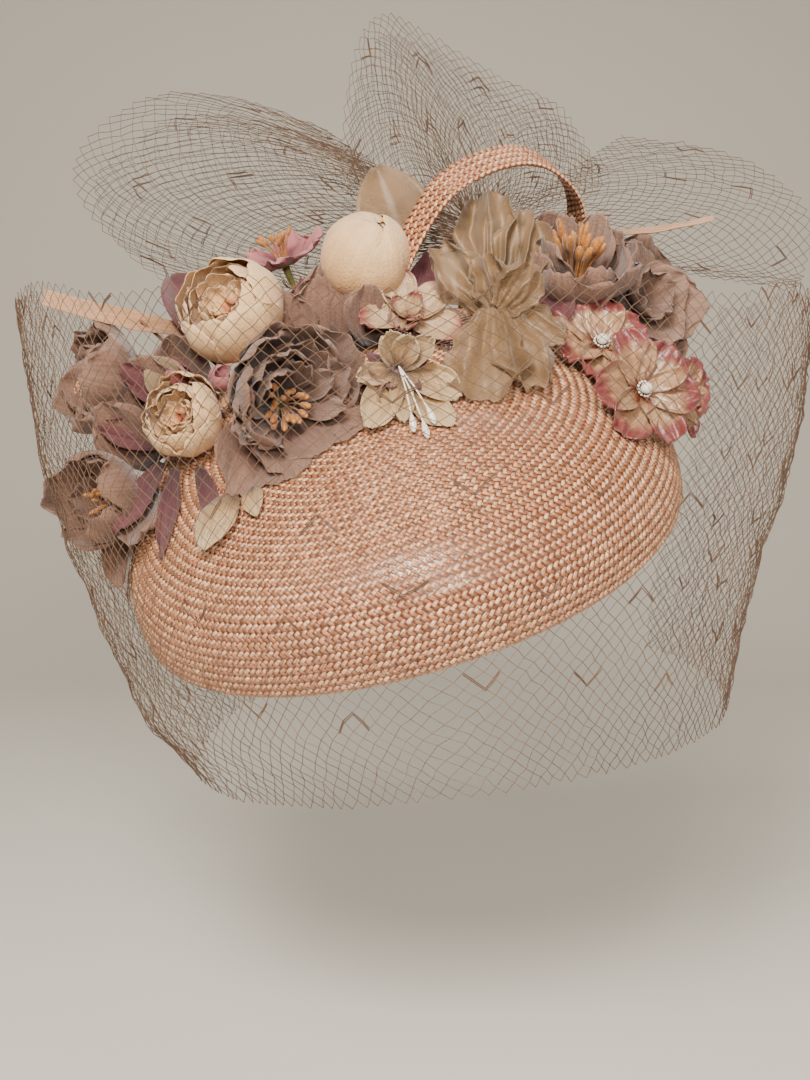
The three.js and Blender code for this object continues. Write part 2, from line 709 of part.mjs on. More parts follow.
function makeVeil() {
  addPiece('veil_front', sheet(netSurface, 26, 7, netWall), 'net');
  const root = above(62, 0.94, 34);
  const knot = new THREE.SphereGeometry(knotRadius, 10, 7).translate(root.x, root.y, root.z);
  const foot = above(62, 0.94, seatGap);
  const neck = tube([root, root.clone().lerp(foot, 0.5), foot], knotRadius / 2, 3, 7);
  addPiece('veil_gather', joined(knot, neck), 'net');
  const top = (dx, dy, dz) => root.clone().add(vec(dx, dy, dz));
  // the wing reaches past the flowers at the crown's side, so it widens and lifts with the crown
  const widened = crownHalfWidth / 100;
  const wing = (dx, dy, dz) => top(dx * widened, dy, dz + wingLift * (widened - 1));
  addPiece('veil_bow_top', netFan(top(0, 3, 6.2), [
    top(-bowWidth * 0.54, 8, bowHeight * 0.2), top(-bowWidth * 0.5, 8, bowHeight * 0.58),
    top(-bowWidth * 0.38, 10, bowHeight * 0.78), top(-bowWidth * 0.15, 10, bowHeight * 0.7),
    top(bowWidth * 0.1, 12, bowHeight * 0.56), top(bowWidth * 0.33, 12, bowHeight * 0.46),
    top(bowWidth * 0.5, 14, bowHeight * 0.24),
  ], 7, 14, 6), 'net');
  addPiece('veil_loop_left', netFan(top(-7.2, 3, -1), [
    top(-96, 40, -24), top(-150, 52, 0), top(-168, 56, 34), top(-140, 56, 60),
    top(-100, 50, 60), top(-62, 40, 46),
  ], 7, 12, 6), 'net');
  addPiece('veil_wing_right', netFan(top(7.5, 1.8, -1), [
    wing(58, 22, 40), wing(84, 22, 37), wing(112, 18, 28), wing(130, 14, 12),
    wing(126, -8, -14), wing(116, -30, -24),
  ], 6, 12, 6), 'net');
}

makeCrown();
makeLining();
makeHeadband();
makeComb();
makeElasticTabs();
makePeonies();
makeRoses();
makeSmallBlossoms();
makeLeaves();
makeOrganza();
makeLoops();
makeVeil();

export default part;
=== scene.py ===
import bmesh
import bpy
import math
import random
from mathutils import Matrix, Vector, noise


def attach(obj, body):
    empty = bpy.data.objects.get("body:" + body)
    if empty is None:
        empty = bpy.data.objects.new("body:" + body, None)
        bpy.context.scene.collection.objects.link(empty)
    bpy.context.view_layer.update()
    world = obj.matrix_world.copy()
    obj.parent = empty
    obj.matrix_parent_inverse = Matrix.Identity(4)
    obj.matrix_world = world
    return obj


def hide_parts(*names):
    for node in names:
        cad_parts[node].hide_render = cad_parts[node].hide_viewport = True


# A tilted straw saucer hat with silk flowers and net. Shapes are worked out in millimetres
# and made metres when each piece is finished.
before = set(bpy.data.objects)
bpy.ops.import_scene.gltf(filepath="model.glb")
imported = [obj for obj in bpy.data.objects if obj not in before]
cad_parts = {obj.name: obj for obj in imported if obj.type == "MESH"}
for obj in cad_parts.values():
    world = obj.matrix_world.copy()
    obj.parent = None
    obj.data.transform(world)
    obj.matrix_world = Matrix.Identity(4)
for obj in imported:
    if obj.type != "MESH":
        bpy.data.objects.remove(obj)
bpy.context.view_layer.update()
metresPerMm = 0.001


# ---- camera, light and backdrop ----

viewing = {"eye": (2.3, -552.8, 48.0), "target": (2.3, 34.0, -13.7), "lens": 52, "sensor": 36}


def ripple(x, y, z):
    return noise.noise(Vector((x, y, z)))


def toMetres(point):
    return Vector(point) * metresPerMm


def aim(obj, target):
    direction = toMetres(target) - obj.location
    obj.rotation_euler = direction.to_track_quat("-Z", "Y").to_euler()


def makeCamera():
    data = bpy.data.cameras.new("viewCamera")
    data.sensor_fit = "VERTICAL"
    data.sensor_height = viewing["sensor"]
    data.lens = viewing["lens"]
    camera = bpy.data.objects.new("viewCamera", data)
    bpy.context.scene.collection.objects.link(camera)
    camera.location = toMetres(viewing["eye"])
    aim(camera, viewing["target"])
    bpy.context.scene.camera = camera


lamps = [
    {"name": "windowKey", "at": (-170, -800, 600), "size": 0.3, "power": 22, "tint": (1, 0.95, 0.88)},
    {"name": "roomFill", "at": (800, -520, 260), "size": 0.8, "power": 1.5, "tint": (1, 0.96, 0.92)},
    {"name": "ceilingSoft", "at": (60, 420, 880), "size": 0.5, "power": 5, "tint": (1, 0.96, 0.91)},
    {"name": "frontGlint", "at": (120, -950, 260), "size": 0.14, "power": 7, "tint": (1, 0.96, 0.9)},
]


def makeLights():
    for lamp in lamps:
        data = bpy.data.lights.new(lamp["name"], "AREA")
        data.energy = lamp["power"]
        data.size = lamp["size"]
        data.color = lamp["tint"]
        obj = bpy.data.objects.new(lamp["name"], data)
        bpy.context.scene.collection.objects.link(obj)
        obj.location = toMetres(lamp["at"])
        aim(obj, (0, 0, 20))
    world = bpy.data.worlds.new("paleRoom")
    world.use_nodes = True
    sky = world.node_tree.nodes["Background"]
    sky.inputs["Color"].default_value = (0.86, 0.8, 0.73, 1)
    sky.inputs["Strength"].default_value = 0.13
    bpy.context.scene.world = world


white = (1, 1, 1, 1)


def srgb(red, green, blue):
    def linear(value):
        share = value / 255
        return share / 12.92 if share <= 0.04045 else ((share + 0.055) / 1.055) ** 2.4
    return (linear(red), linear(green), linear(blue), 1)


backdrop = {"floorZ": -0.21, "front": -8.0, "back": 1.15, "height": 2.4, "bend": 0.4, "width": 16.0}


def makeBackdrop():
    # one sweep of paper: floor, bend and wall
    bm = bmesh.new()
    size = backdrop
    outline = [(size["front"], 0), (size["back"] - size["bend"], 0)]
    for step in range(1, 9):
        turn = math.pi / 2 * step / 8
        outline.append((size["back"] - size["bend"] + size["bend"] * math.sin(turn),
                        size["bend"] * (1 - math.cos(turn))))
    outline.append((size["back"], size["height"]))
    edge = [bm.verts.new((-size["width"] / 2, y, size["floorZ"] + z)) for y, z in outline]
    edges = [bm.edges.new(pair) for pair in zip(edge, edge[1:])]
    swept = bmesh.ops.extrude_edge_only(bm, edges=edges)
    moved = [item for item in swept["geom"] if isinstance(item, bmesh.types.BMVert)]
    bmesh.ops.translate(bm, verts=moved, vec=(size["width"], 0, 0))
    bmesh.ops.recalc_face_normals(bm, faces=bm.faces)
    mesh = bpy.data.meshes.new("paperSweep")
    bm.to_mesh(mesh)
    bm.free()
    for face in mesh.polygons:
        face.use_smooth = True
    obj = bpy.data.objects.new("paperSweep", mesh)
    bpy.context.scene.collection.objects.link(obj)
    paper = bpy.data.materials.new("palePaper")
    paper.use_nodes = True
    shader = paper.node_tree.nodes["Principled BSDF"]
    shader.inputs["Base Color"].default_value = srgb(204, 198, 186)
    shader.inputs["Roughness"].default_value = 0.95
    mesh.materials.append(paper)


makeCamera()
makeLights()
makeBackdrop()
print("camera, lights and backdrop are in place")


# ---- the crown's surface, which everything is placed on ----

crown = {"halfWidth": 100, "halfDepth": 92, "height": 50, "fullness": 2.3, "saddle": -8,
         "forwardTilt": 32, "sideTilt": 16.5, "rollRadius": 4.2}
crownTurn = (Matrix.Rotation(-math.radians(crown["sideTilt"]), 3, "Y")
             @ Matrix.Rotation(math.radians(crown["forwardTilt"]), 3, "X"))


def domeHeight(share, height):
    power = crown["fullness"]
    return height * max(0.0, 1 - share ** power) ** (1 / power)


def ovalPlace(radius, height, angle):
    share = radius / crown["halfWidth"]
    deep = radius * crown["halfDepth"] / crown["halfWidth"]
    lift = crown["saddle"] * share ** 2 * math.cos(2 * angle)
    return crownTurn @ Vector((radius * math.cos(angle), deep * math.sin(angle), height + lift))


def crownPoint(degrees, share, drop=0):
    return ovalPlace(share * (crown["halfWidth"] - drop), domeHeight(share, crown["height"] - drop),
                     math.radians(degrees))


def crownNormal(degrees, share):
    step = 0.01
    outward = crownPoint(degrees, min(share + step, 1)) - crownPoint(degrees, share - step)
    round_ = crownPoint(degrees + 1, share) - crownPoint(degrees - 1, share)
    return outward.cross(round_).normalized()


def above(degrees, share, lift):
    return crownPoint(degrees, share) + crownNormal(degrees, share) * lift


def restOnCrown(point, gap):
    # a point that would sink into the crown is pushed out to lie on the straw
    local = crownTurn.transposed() @ point
    across = local.y * crown["halfWidth"] / crown["halfDepth"]
    share = math.hypot(local.x, across) / crown["halfWidth"]
    if share >= 1:
        return point
    angle = math.atan2(across, local.x)
    surface = domeHeight(share, crown["height"]) + crown["saddle"] * share ** 2 * math.cos(2 * angle)
    depth = surface + gap - local.z
    if depth <= 0:
        return point
    normal = crownNormal(math.degrees(angle), share)
    return point + normal * depth * normal.dot(crownTurn @ Vector((0, 0, 1)))


def facing(base, looks, roll=0):
    # local Z looks out of the flower, local X to the side, local Y up
    out = Vector(looks).normalized()
    side = Vector((0, 0, 1)).cross(out)
    if side.length < 1e-3:
        side = Vector((1, 0, 0))
    side.normalize()
    up = out.cross(side)
    turn = Matrix((side, up, out)).transposed().to_4x4()
    return Matrix.Translation(base) @ turn @ Matrix.Rotation(math.radians(roll), 4, "Z")


# ---- materials ----

def startMaterial(name, roughness, **settings):
    material = bpy.data.materials.new(name)
    material.use_nodes = True
    shader = material.node_tree.nodes["Principled BSDF"]
    shader.inputs["Roughness"].default_value = roughness
    for socket, value in settings.items():
        shader.inputs[socket.replace("_", " ")].default_value = value
    return material, material.node_tree, shader


def addNode(tree, kind, inputs=None, **settings):
    node = tree.nodes.new(kind)
    for key, value in settings.items():
        setattr(node, key, value)
    for socket, value in (inputs or {}).items():
        if isinstance(value, bpy.types.NodeSocket):
            tree.links.new(value, node.inputs[socket])
        else:
            node.inputs[socket].default_value = value
    return node


def addRamp(tree, factor, stops):
    node = addNode(tree, "ShaderNodeValToRGB", {"Fac": factor})
    ramp = node.color_ramp
    while len(ramp.elements) < len(stops):
        ramp.elements.new(0.5)
    for element, (place, colour) in zip(ramp.elements, stops):
        element.position = place
        element.color = colour
    return node.outputs["Color"]


def addNoise(tree, vector, scale, detail=3, roughness=0.55):
    node = addNode(tree, "ShaderNodeTexNoise",
                   {"Vector": vector, "Scale": scale, "Detail": detail, "Roughness": roughness})
    return node.outputs["Fac"]


def addBump(tree, shader, height, strength, distance):
    node = addNode(tree, "ShaderNodeBump",
                   {"Height": height, "Strength": strength, "Distance": distance})
    tree.links.new(node.outputs["Normal"], shader.inputs["Normal"])


def addMath(tree, operation, first, second):
    return addNode(tree, "ShaderNodeMath", {0: first, 1: second}, operation=operation).outputs["Value"]


def stretched(tree, vector, scale):
    return addNode(tree, "ShaderNodeMapping", {"Vector": vector, "Scale": scale}).outputs["Vector"]


def mixColours(tree, factor, first, second, blend="MIX"):
    node = addNode(tree, "ShaderNodeMix", data_type="RGBA", blend_type=blend)
    for socket, value in ((node.inputs[0], factor), (node.inputs[6], first), (node.inputs[7], second)):
        if isinstance(value, bpy.types.NodeSocket):
            tree.links.new(value, socket)
        else:
            socket.default_value = value
    return node.outputs[2]


def objectPlace(tree):
    return addNode(tree, "ShaderNodeTexCoord").outputs["Object"]


def strawMaterial(name, dark, middle, light):
    # each float carries its own tone, so neighbours differ as cut straw does; the tone also carries painted
    # shade and painted highlight: alternate rows darker or lighter as if they lean away from or towards the
    # light, and the bare shell under the floats keeps tone 0, the darkest colour, as painted shade in the
    # gaps
    material, tree, shader = startMaterial(name, 0.27, Anisotropic=0.7, Coat_Weight=0.3,
                                           Coat_Roughness=0.18)
    fibreWay = addNode(tree, "ShaderNodeTangent", direction_type="UV_MAP", uv_map="grain")
    tree.links.new(fibreWay.outputs["Tangent"], shader.inputs["Tangent"])
    place = objectPlace(tree)
    tone = addNode(tree, "ShaderNodeAttribute", attribute_name="tone").outputs["Fac"]
    floatColour = addRamp(tree, tone, [(0, dark), (0.5, middle), (1, light)])
    patches = addRamp(tree, addNoise(tree, place, 38), [(0.3, (0.86, 0.82, 0.8, 1)), (0.7, white)])
    colour = mixColours(tree, 1.0, floatColour, patches, "MULTIPLY")
    tree.links.new(colour, shader.inputs["Base Color"])
    grain = addNode(tree, "ShaderNodeUVMap", uv_map="grain").outputs["UV"]
    shifted = addNode(tree, "ShaderNodeVectorMath", {0: grain, 1: tone}, operation="ADD").outputs["Vector"]
    fibres = addNoise(tree, stretched(tree, shifted, (1.2, 9, 9)), 1.0, detail=2)
    addBump(tree, shader, fibres, 0.35, 0.0003)
    return material


def petalMaterial(name, root, middle, edge, roughness=0.75, veins=0.35, sheen=0.25, streaks=26,
                  edgeFrom=0.4):
    # colour runs from the petal's root to its edge, with fine veins along it
    material, tree, shader = startMaterial(name, roughness, Sheen_Weight=sheen, Sheen_Roughness=0.5)
    uv = addNode(tree, "ShaderNodeUVMap", uv_map="petal").outputs["UV"]
    split = addNode(tree, "ShaderNodeSeparateXYZ", {"Vector": uv})
    stops = [(0.04, root), (0.38, middle), (edgeFrom, middle), (0.94, edge)]
    along = addRamp(tree, split.outputs["Y"], stops)
    vein = addNoise(tree, stretched(tree, uv, (streaks, 2.2, 1)), 1.0, detail=4, roughness=0.65)
    veinTone = addRamp(tree, vein, [(0.34, (1 - veins, 1 - veins, 1 - veins, 1)), (0.62, white)])
    veined = mixColours(tree, 1.0, along, veinTone, "MULTIPLY")
    place = objectPlace(tree)
    mottle = addRamp(tree, addNoise(tree, place, 170, detail=4),
                     [(0.32, (0.87, 0.85, 0.84, 1)), (0.66, white)])
    tree.links.new(mixColours(tree, 1.0, veined, mottle, "MULTIPLY"), shader.inputs["Base Color"])
    addBump(tree, shader, addMath(tree, "ADD", vein, addNoise(tree, place, 1100)), 0.7, 0.0007)
    return material


def clothMaterial(name, colour, darker, roughness, sheen=0.3, scale=1500):
    material, tree, shader = startMaterial(name, roughness, Sheen_Weight=sheen, Sheen_Roughness=0.45)
    place = objectPlace(tree)
    weave = addNoise(tree, place, scale, detail=2)
    blotch = addNoise(tree, place, 90)
    both = addMath(tree, "MULTIPLY", weave, blotch)
    tree.links.new(addRamp(tree, both, [(0.12, darker), (0.38, colour)]), shader.inputs["Base Color"])
    addBump(tree, shader, weave, 0.3, 0.0002)
    return material


def velvetMaterial(name, centre, body, edge):
    material, tree, shader = startMaterial(name, 0.36, Sheen_Weight=0.15, Sheen_Roughness=0.35,
                                           Coat_Weight=0.25, Coat_Roughness=0.25)
    uv = addNode(tree, "ShaderNodeUVMap", uv_map="petal").outputs["UV"]
    split = addNode(tree, "ShaderNodeSeparateXYZ", {"Vector": uv})
    place = objectPlace(tree)
    wander = addMath(tree, "MULTIPLY", addNoise(tree, place, 150), 0.42)
    ragged = addMath(tree, "ADD", split.outputs["Y"], wander)
    along = addRamp(tree, ragged, [(0.26, centre), (0.48, body), (0.8, body), (1, edge)])
    rub = addRamp(tree, addNoise(tree, place, 480, detail=4),
                  [(0.35, (0.8, 0.72, 0.7, 1)), (0.6, white)])
    tree.links.new(mixColours(tree, 1.0, along, rub, "MULTIPLY"), shader.inputs["Base Color"])
    addBump(tree, shader, addNoise(tree, place, 620, detail=3), 0.6, 0.0006)
    return material


# the dark and light ends of this straw ramp give painted shade and painted highlight, reached by the rows'
# tone and by the bare shell's tone of 0
strawFinish = strawMaterial("wovenStraw", srgb(100, 56, 34), srgb(182, 124, 88), srgb(248, 202, 160))
quillFinish = petalMaterial("strawQuill", srgb(128, 84, 54), srgb(188, 138, 98), srgb(206, 158, 118),
                            roughness=0.5, veins=0.4, sheen=0.1, streaks=40)
# the near-black roots of these two mauve silks are painted shade, deep in the flower's heart where the
# petals crowd
mauveFinish = petalMaterial("mauveSilk", srgb(22, 8, 5), srgb(106, 70, 54), srgb(138, 101, 81), veins=0.45)
mauvePaleFinish = petalMaterial("silverMauveSilk", srgb(36, 16, 10), srgb(118, 84, 67),
                                srgb(150, 115, 95), veins=0.45)
creamFinish = petalMaterial("creamSilk", srgb(166, 84, 36), srgb(213, 163, 106), srgb(227, 187, 136),
                            veins=0.14, sheen=0.2, streaks=14)
roseFinish = petalMaterial("roseVelvet", srgb(80, 26, 34), srgb(140, 66, 72), srgb(184, 112, 112),
                           roughness=0.7, veins=0.25, sheen=0.2)
plumFinish = petalMaterial("plumVelvet", srgb(52, 16, 20), srgb(84, 36, 42), srgb(108, 54, 56),
                           roughness=0.7, veins=0.35, sheen=0.12)
satinFinish = petalMaterial("creamSatin", srgb(70, 40, 20), srgb(174, 137, 92), srgb(204, 173, 128),
                            roughness=0.26, veins=0.42, sheen=0.3, streaks=12)
blushFinish = petalMaterial("blushSatin", srgb(120, 64, 34), srgb(184, 151, 113), srgb(148, 72, 66),
                            roughness=0.26, veins=0.25, sheen=0.1, streaks=10, edgeFrom=0.68)
velvetFinish = velvetMaterial("pinkEdgeVelvet", srgb(92, 38, 12), srgb(168, 131, 97),
                              srgb(128, 60, 59))
leafGreenFinish = petalMaterial("yellowGreenCalyx", srgb(120, 118, 44), srgb(168, 160, 62),
                                srgb(186, 176, 84), veins=0.25, sheen=0.1)
oliveFinish = petalMaterial("olivePetal", srgb(80, 60, 36), srgb(124, 98, 66), srgb(152, 126, 90))
stemFinish = clothMaterial("greenStemTape", srgb(126, 122, 62), srgb(84, 84, 40), 0.8)
plumStemFinish = clothMaterial("plumStemTape", srgb(98, 50, 58), srgb(60, 28, 36), 0.7)
goldFinish = clothMaterial("goldStamen", srgb(186, 122, 52), srgb(128, 72, 26), 0.55, scale=900)
netFinish = clothMaterial("netThread", srgb(104, 76, 52), srgb(70, 48, 32), 0.7, sheen=0.1)
liningFinish = clothMaterial("liningSilk", srgb(214, 196, 170), srgb(186, 164, 136), 0.5, sheen=0.5)
ribbonFinish = clothMaterial("petershamRibbon", srgb(196, 162, 140), srgb(158, 122, 102), 0.65)


def mottledMaterial(name, roughness, scale, darker, colour, bump=None, **settings):
    # bump is (scale, strength, depth)
    material, tree, shader = startMaterial(name, roughness, **settings)
    place = objectPlace(tree)
    tree.links.new(addRamp(tree, addNoise(tree, place, scale), [(0.3, darker), (0.7, colour)]),
                   shader.inputs["Base Color"])
    if bump:
        addBump(tree, shader, addNoise(tree, place, bump[0]), bump[1], bump[2])
    return material


def makeOrganzaFinish():
    material, tree, shader = startMaterial("silkOrganza", 0.42, Alpha=0.62, Sheen_Weight=0.25,
                                           Sheen_Roughness=0.4)
    place = objectPlace(tree)
    crumple = addNoise(tree, place, 70, detail=3, roughness=0.5)
    tree.links.new(addRamp(tree, crumple, [(0.3, srgb(114, 87, 57)), (0.68, srgb(150, 118, 84))]),
                   shader.inputs["Base Color"])
    weft = addNoise(tree, place, 2400, detail=1)
    addBump(tree, shader, addMath(tree, "ADD", crumple, weft), 0.35, 0.0004)
    return material


pearlFinish = mottledMaterial("pearlBead", 0.22, 300, srgb(216, 206, 184), srgb(242, 236, 222),
                              Coat_Weight=0.6, Coat_Roughness=0.1, Sheen_Weight=0.2)
organzaFinish = makeOrganzaFinish()
combFinish = mottledMaterial("combPlastic", 0.18, 60, srgb(224, 216, 196), srgb(242, 238, 226),
                             bump=(700, 0.08, 0.0002), Transmission_Weight=0.55, IOR=1.49,
                             Coat_Weight=0.3, Coat_Roughness=0.08)
wireFinish = mottledMaterial("rimWireMetal", 0.35, 400, srgb(150, 146, 140), srgb(196, 192, 186),
                             bump=(400, 0.2, 0.0001), Metallic=1.0)
print("materials are mixed")


# ---- finishing a piece ----

def nodesFor(name):
    # the CAD node with the piece's own name, or the flower's: petals stand for a flower or its cups,
    # stamens for its heart, and the knot for the gather
    snake = "".join("_" + letter.lower() if letter.isupper() else letter for letter in name)
    for ending, cadEnding in (("", ""), ("_petals", ""), ("_stamens", "_heart"), ("_knot", "_gather")):
        node = snake[:len(snake) - len(ending)] + cadEnding
        if snake.endswith(ending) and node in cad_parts:
            return [node]
    return []


def makePiece(name, mesh, finishes, body="hat", wall=0, bevel=0, smooth=True):
    mesh.name = name
    mesh.transform(Matrix.Scale(metresPerMm, 4))
    for finish in finishes if isinstance(finishes, list) else [finishes]:
        mesh.materials.append(finish)
    mesh.polygons.foreach_set("use_smooth", [smooth] * len(mesh.polygons))
    obj = bpy.data.objects.new(name, mesh)
    bpy.context.scene.collection.objects.link(obj)
    if wall:
        solid = obj.modifiers.new("wall", "SOLIDIFY")
        solid.thickness = wall * metresPerMm
        solid.offset = 0
    if bevel:
        soften = obj.modifiers.new("softEdges", "BEVEL")
        soften.width = bevel * metresPerMm
        soften.segments = 2
        soften.limit_method = "ANGLE"
    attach(obj, body)
    nodes = nodesFor(name)
    if nodes:
        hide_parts(*nodes)
    return obj


def meshFrom(bm, name="part"):
    mesh = bpy.data.meshes.new(name)
    bm.to_mesh(mesh)
    bm.free()
    return mesh


def threadMesh(lines, radius, sides=4, closed=False):
    # lines are lists of (point, thickness share); the thread is round and closed at its ends
    curve = bpy.data.curves.new("threads", "CURVE")
    curve.dimensions = "3D"
    curve.bevel_depth = radius
    curve.bevel_resolution = (sides - 4) // 2
    curve.use_fill_caps = True
    for line in lines:
        spline = curve.splines.new("POLY")
        spline.points.add(len(line) - 1)
        for point, (place, share) in zip(spline.points, line):
            point.co = (*place, 1)
            point.radius = share
        spline.use_cyclic_u = closed
    holder = bpy.data.objects.new("threads", curve)
    mesh = bpy.data.meshes.new_from_object(holder)
    bpy.data.objects.remove(holder)
    bpy.data.curves.remove(curve)
    return mesh


def joinMeshes(meshes):
    bm = bmesh.new()
    for index, mesh in enumerate(meshes):
        before = len(bm.faces)
        bm.from_mesh(mesh)
        bm.faces.ensure_lookup_table()
        for face in bm.faces[before:]:
            face.material_index = index
        bpy.data.meshes.remove(mesh)
    return meshFrom(bm)


# ---- woven straw ----

weave = {"rowPitch": 1.55, "floatPitch": 2.25, "length": 2.75, "width": 1.5, "rise": 0.3, "slant": 38,
         "ridge": 19, "tone": 0.09, "paintedRowShadeAndHighlight": 0.17}


def makeFloatStamp():
    # one cut straw showing between two crossings: a closed lozenge with a small raised top
    bm = bmesh.new()
    bmesh.ops.create_cube(bm, size=1)
    for vert in bm.verts:
        if vert.co.z > 0:
            vert.co.x *= 0.72
            vert.co.y *= 0.6
        vert.co.z = weave["rise"] if vert.co.z > 0 else -0.35
        vert.co.x *= weave["length"]
        vert.co.y *= weave["width"]
    grain = bm.loops.layers.uv.new("grain")
    for face in bm.faces:
        for loop in face.loops:
            loop[grain].uv = (loop.vert.co.x / weave["length"] + 0.5, loop.vert.co.y / weave["width"] + 0.5)
    mesh = meshFrom(bm, "strawFloat")
    mesh.attributes.new("tone", "FLOAT", "POINT")
    return mesh


def stampFloats(bm, places, draw):
    stamp = makeFloatStamp()
    rest = [0.0] * (3 * len(stamp.vertices))
    stamp.vertices.foreach_get("co", rest)
    for place, middle in places:
        stamp.vertices.foreach_set("co", rest)
        # middle is the row's painted shade or painted highlight; the gauss spread around it is the straw's
        # own random tone
        tone = min(max(draw.gauss(middle, weave["tone"]), 0), 1)
        stamp.attributes["tone"].data.foreach_set("value", [tone] * len(stamp.vertices))
        stamp.transform(place)
        bm.from_mesh(stamp)
    bpy.data.meshes.remove(stamp)


def floatPlace(point, along, across, slant, ridge=0):
    # the float lies aslant on the row; ridge rolls it about the row, so that rows stand up in ribs
    out = (along.cross(across).normalized() + across * math.tan(math.radians(ridge))).normalized()
    across = out.cross(along)
    turn = math.radians(slant)
    long = (along * math.cos(turn) + across * math.sin(turn)).normalized()
    side = out.cross(long)
    # alternate rows get a lighter or darker tone by the ridge's side: painted highlight and painted shade,
    # as the light catches one slant and not the other
    tone = 0.5 + math.copysign(weave["paintedRowShadeAndHighlight"], ridge)
    return Matrix.Translation(point) @ Matrix((long, side, out)).transposed().to_4x4(), tone


def crownProfile(drop):
    # (radius, height) from the apex, over the dome and round the turned-under edge
    points = []
    for step in range(61):
        share = math.sin(step / 60 * math.pi / 2)
        points.append((share * (crown["halfWidth"] - drop), domeHeight(share, crown["height"] - drop)))
    roll = crown["rollRadius"] - drop
    for step in range(1, 13):
        turn = -math.radians(144) * step / 12
        points.append((crown["halfWidth"] - crown["rollRadius"] + roll * math.cos(turn),
                       roll * math.sin(turn)))
    return points


def alongProfile(points, pitch):
    # places every pitch along a profile, with the profile's own direction there
    places = []
    walked = 0.0
    nextStop = pitch / 2
    for (r0, h0), (r1, h1) in zip(points, points[1:]):
        step = math.hypot(r1 - r0, h1 - h0)
        while nextStop <= walked + step:
            share = (nextStop - walked) / step
            places.append((r0 + (r1 - r0) * share, h0 + (h1 - h0) * share,
                           (r1 - r0) / step, (h1 - h0) / step))
            nextStop += pitch
        walked += step
    return places


def turnedOval(profile, steps):
    # spins a profile round the crown's axis and gives it the crown's oval and saddle
    bm = bmesh.new()
    verts = [bm.verts.new((radius, 0, height)) for radius, height in profile]
    edges = [bm.edges.new(pair) for pair in zip(verts, verts[1:])]
    bmesh.ops.spin(bm, geom=verts + edges, axis=(0, 0, 1), cent=(0, 0, 0), steps=steps,
                   angle=2 * math.pi, use_merge=True)
    bmesh.ops.remove_doubles(bm, verts=bm.verts, dist=1e-4)
    return bm


def makeCrownPiece():
    draw = random.Random(11)
    under = 0.5
    outer = crownProfile(under)
    inner = [(r, h) for r, h in reversed(crownProfile(1.6))]
    bm = turnedOval(outer + inner, 96)
    bmesh.ops.recalc_face_normals(bm, faces=bm.faces)
    for vert in bm.verts:
        vert.co = ovalPlace(math.hypot(vert.co.x, vert.co.y), vert.co.z, math.atan2(vert.co.y, vert.co.x))
    # the shell keeps tone 0, the darkest straw colour: painted shade in the gaps between the floats
    bm.verts.layers.float.new("tone")
    places = []
    for row, (r, h, dr, dh) in enumerate(alongProfile(crownProfile(under), weave["rowPitch"])):
        count = max(5, round(2 * math.pi * r * 0.96 / weave["floatPitch"]))
        lean = weave["slant"] if row % 2 else -weave["slant"]
        for index in range(count):
            angle = 2 * math.pi * (index + 0.5 * (row % 2) + draw.uniform(-0.08, 0.08)) / count
            point = ovalPlace(r, h, angle)
            round_ = (ovalPlace(r, h, angle + 0.01) - ovalPlace(r, h, angle - 0.01)).normalized()
            down = (ovalPlace(r + dr, h + dh, angle) - point).normalized()
            places.append(floatPlace(point, round_, -down, lean + draw.uniform(-5, 5),
                                     weave["ridge"] if row % 2 else -weave["ridge"]))
    stampFloats(bm, places, draw)
    makePiece("strawCrown", meshFrom(bm), strawFinish)


makeCrownPiece()
print("the crown is woven")


def catmull(points, share):
    # a smooth curve through the points; share runs from 0 to 1
    last = len(points) - 1
    whole = min(int(share * last), last - 1)
    t = share * last - whole
    p1, p2 = points[whole], points[whole + 1]
    p0 = points[whole - 1] if whole > 0 else p1 * 2 - p2
    p3 = points[whole + 2] if whole + 2 <= last else p2 * 2 - p1
    return 0.5 * ((p1 * 2) + (p2 - p0) * t + (p0 * 2 - p1 * 5 + p2 * 4 - p3) * t * t
                  + (p1 * 3 - p0 - p2 * 3 + p3) * t * t * t)


loops = {
    "strawLoopTop": {"feet": [(72, 0.66), (47, 0.95)], "centre": (51, 0.79, 19),
                     "across": (0.85, 0.5, 0), "up": (0.25, -0.5, 0.83), "halfSpan": 37, "rise": 42,
                     "start": 185, "end": -8},
    "strawLoopLeft": {"feet": [(143, 0.97), (126, 0.9)],
                      "centre": (138, 0.95, 19), "across": (-0.78, -0.6, 0.1), "up": (-0.1, -0.2, 0.97),
                      "halfSpan": 27, "rise": 22, "start": -10, "end": 125},
}
braid = {"width": 13.5, "wall": 1.0, "plaits": 8}


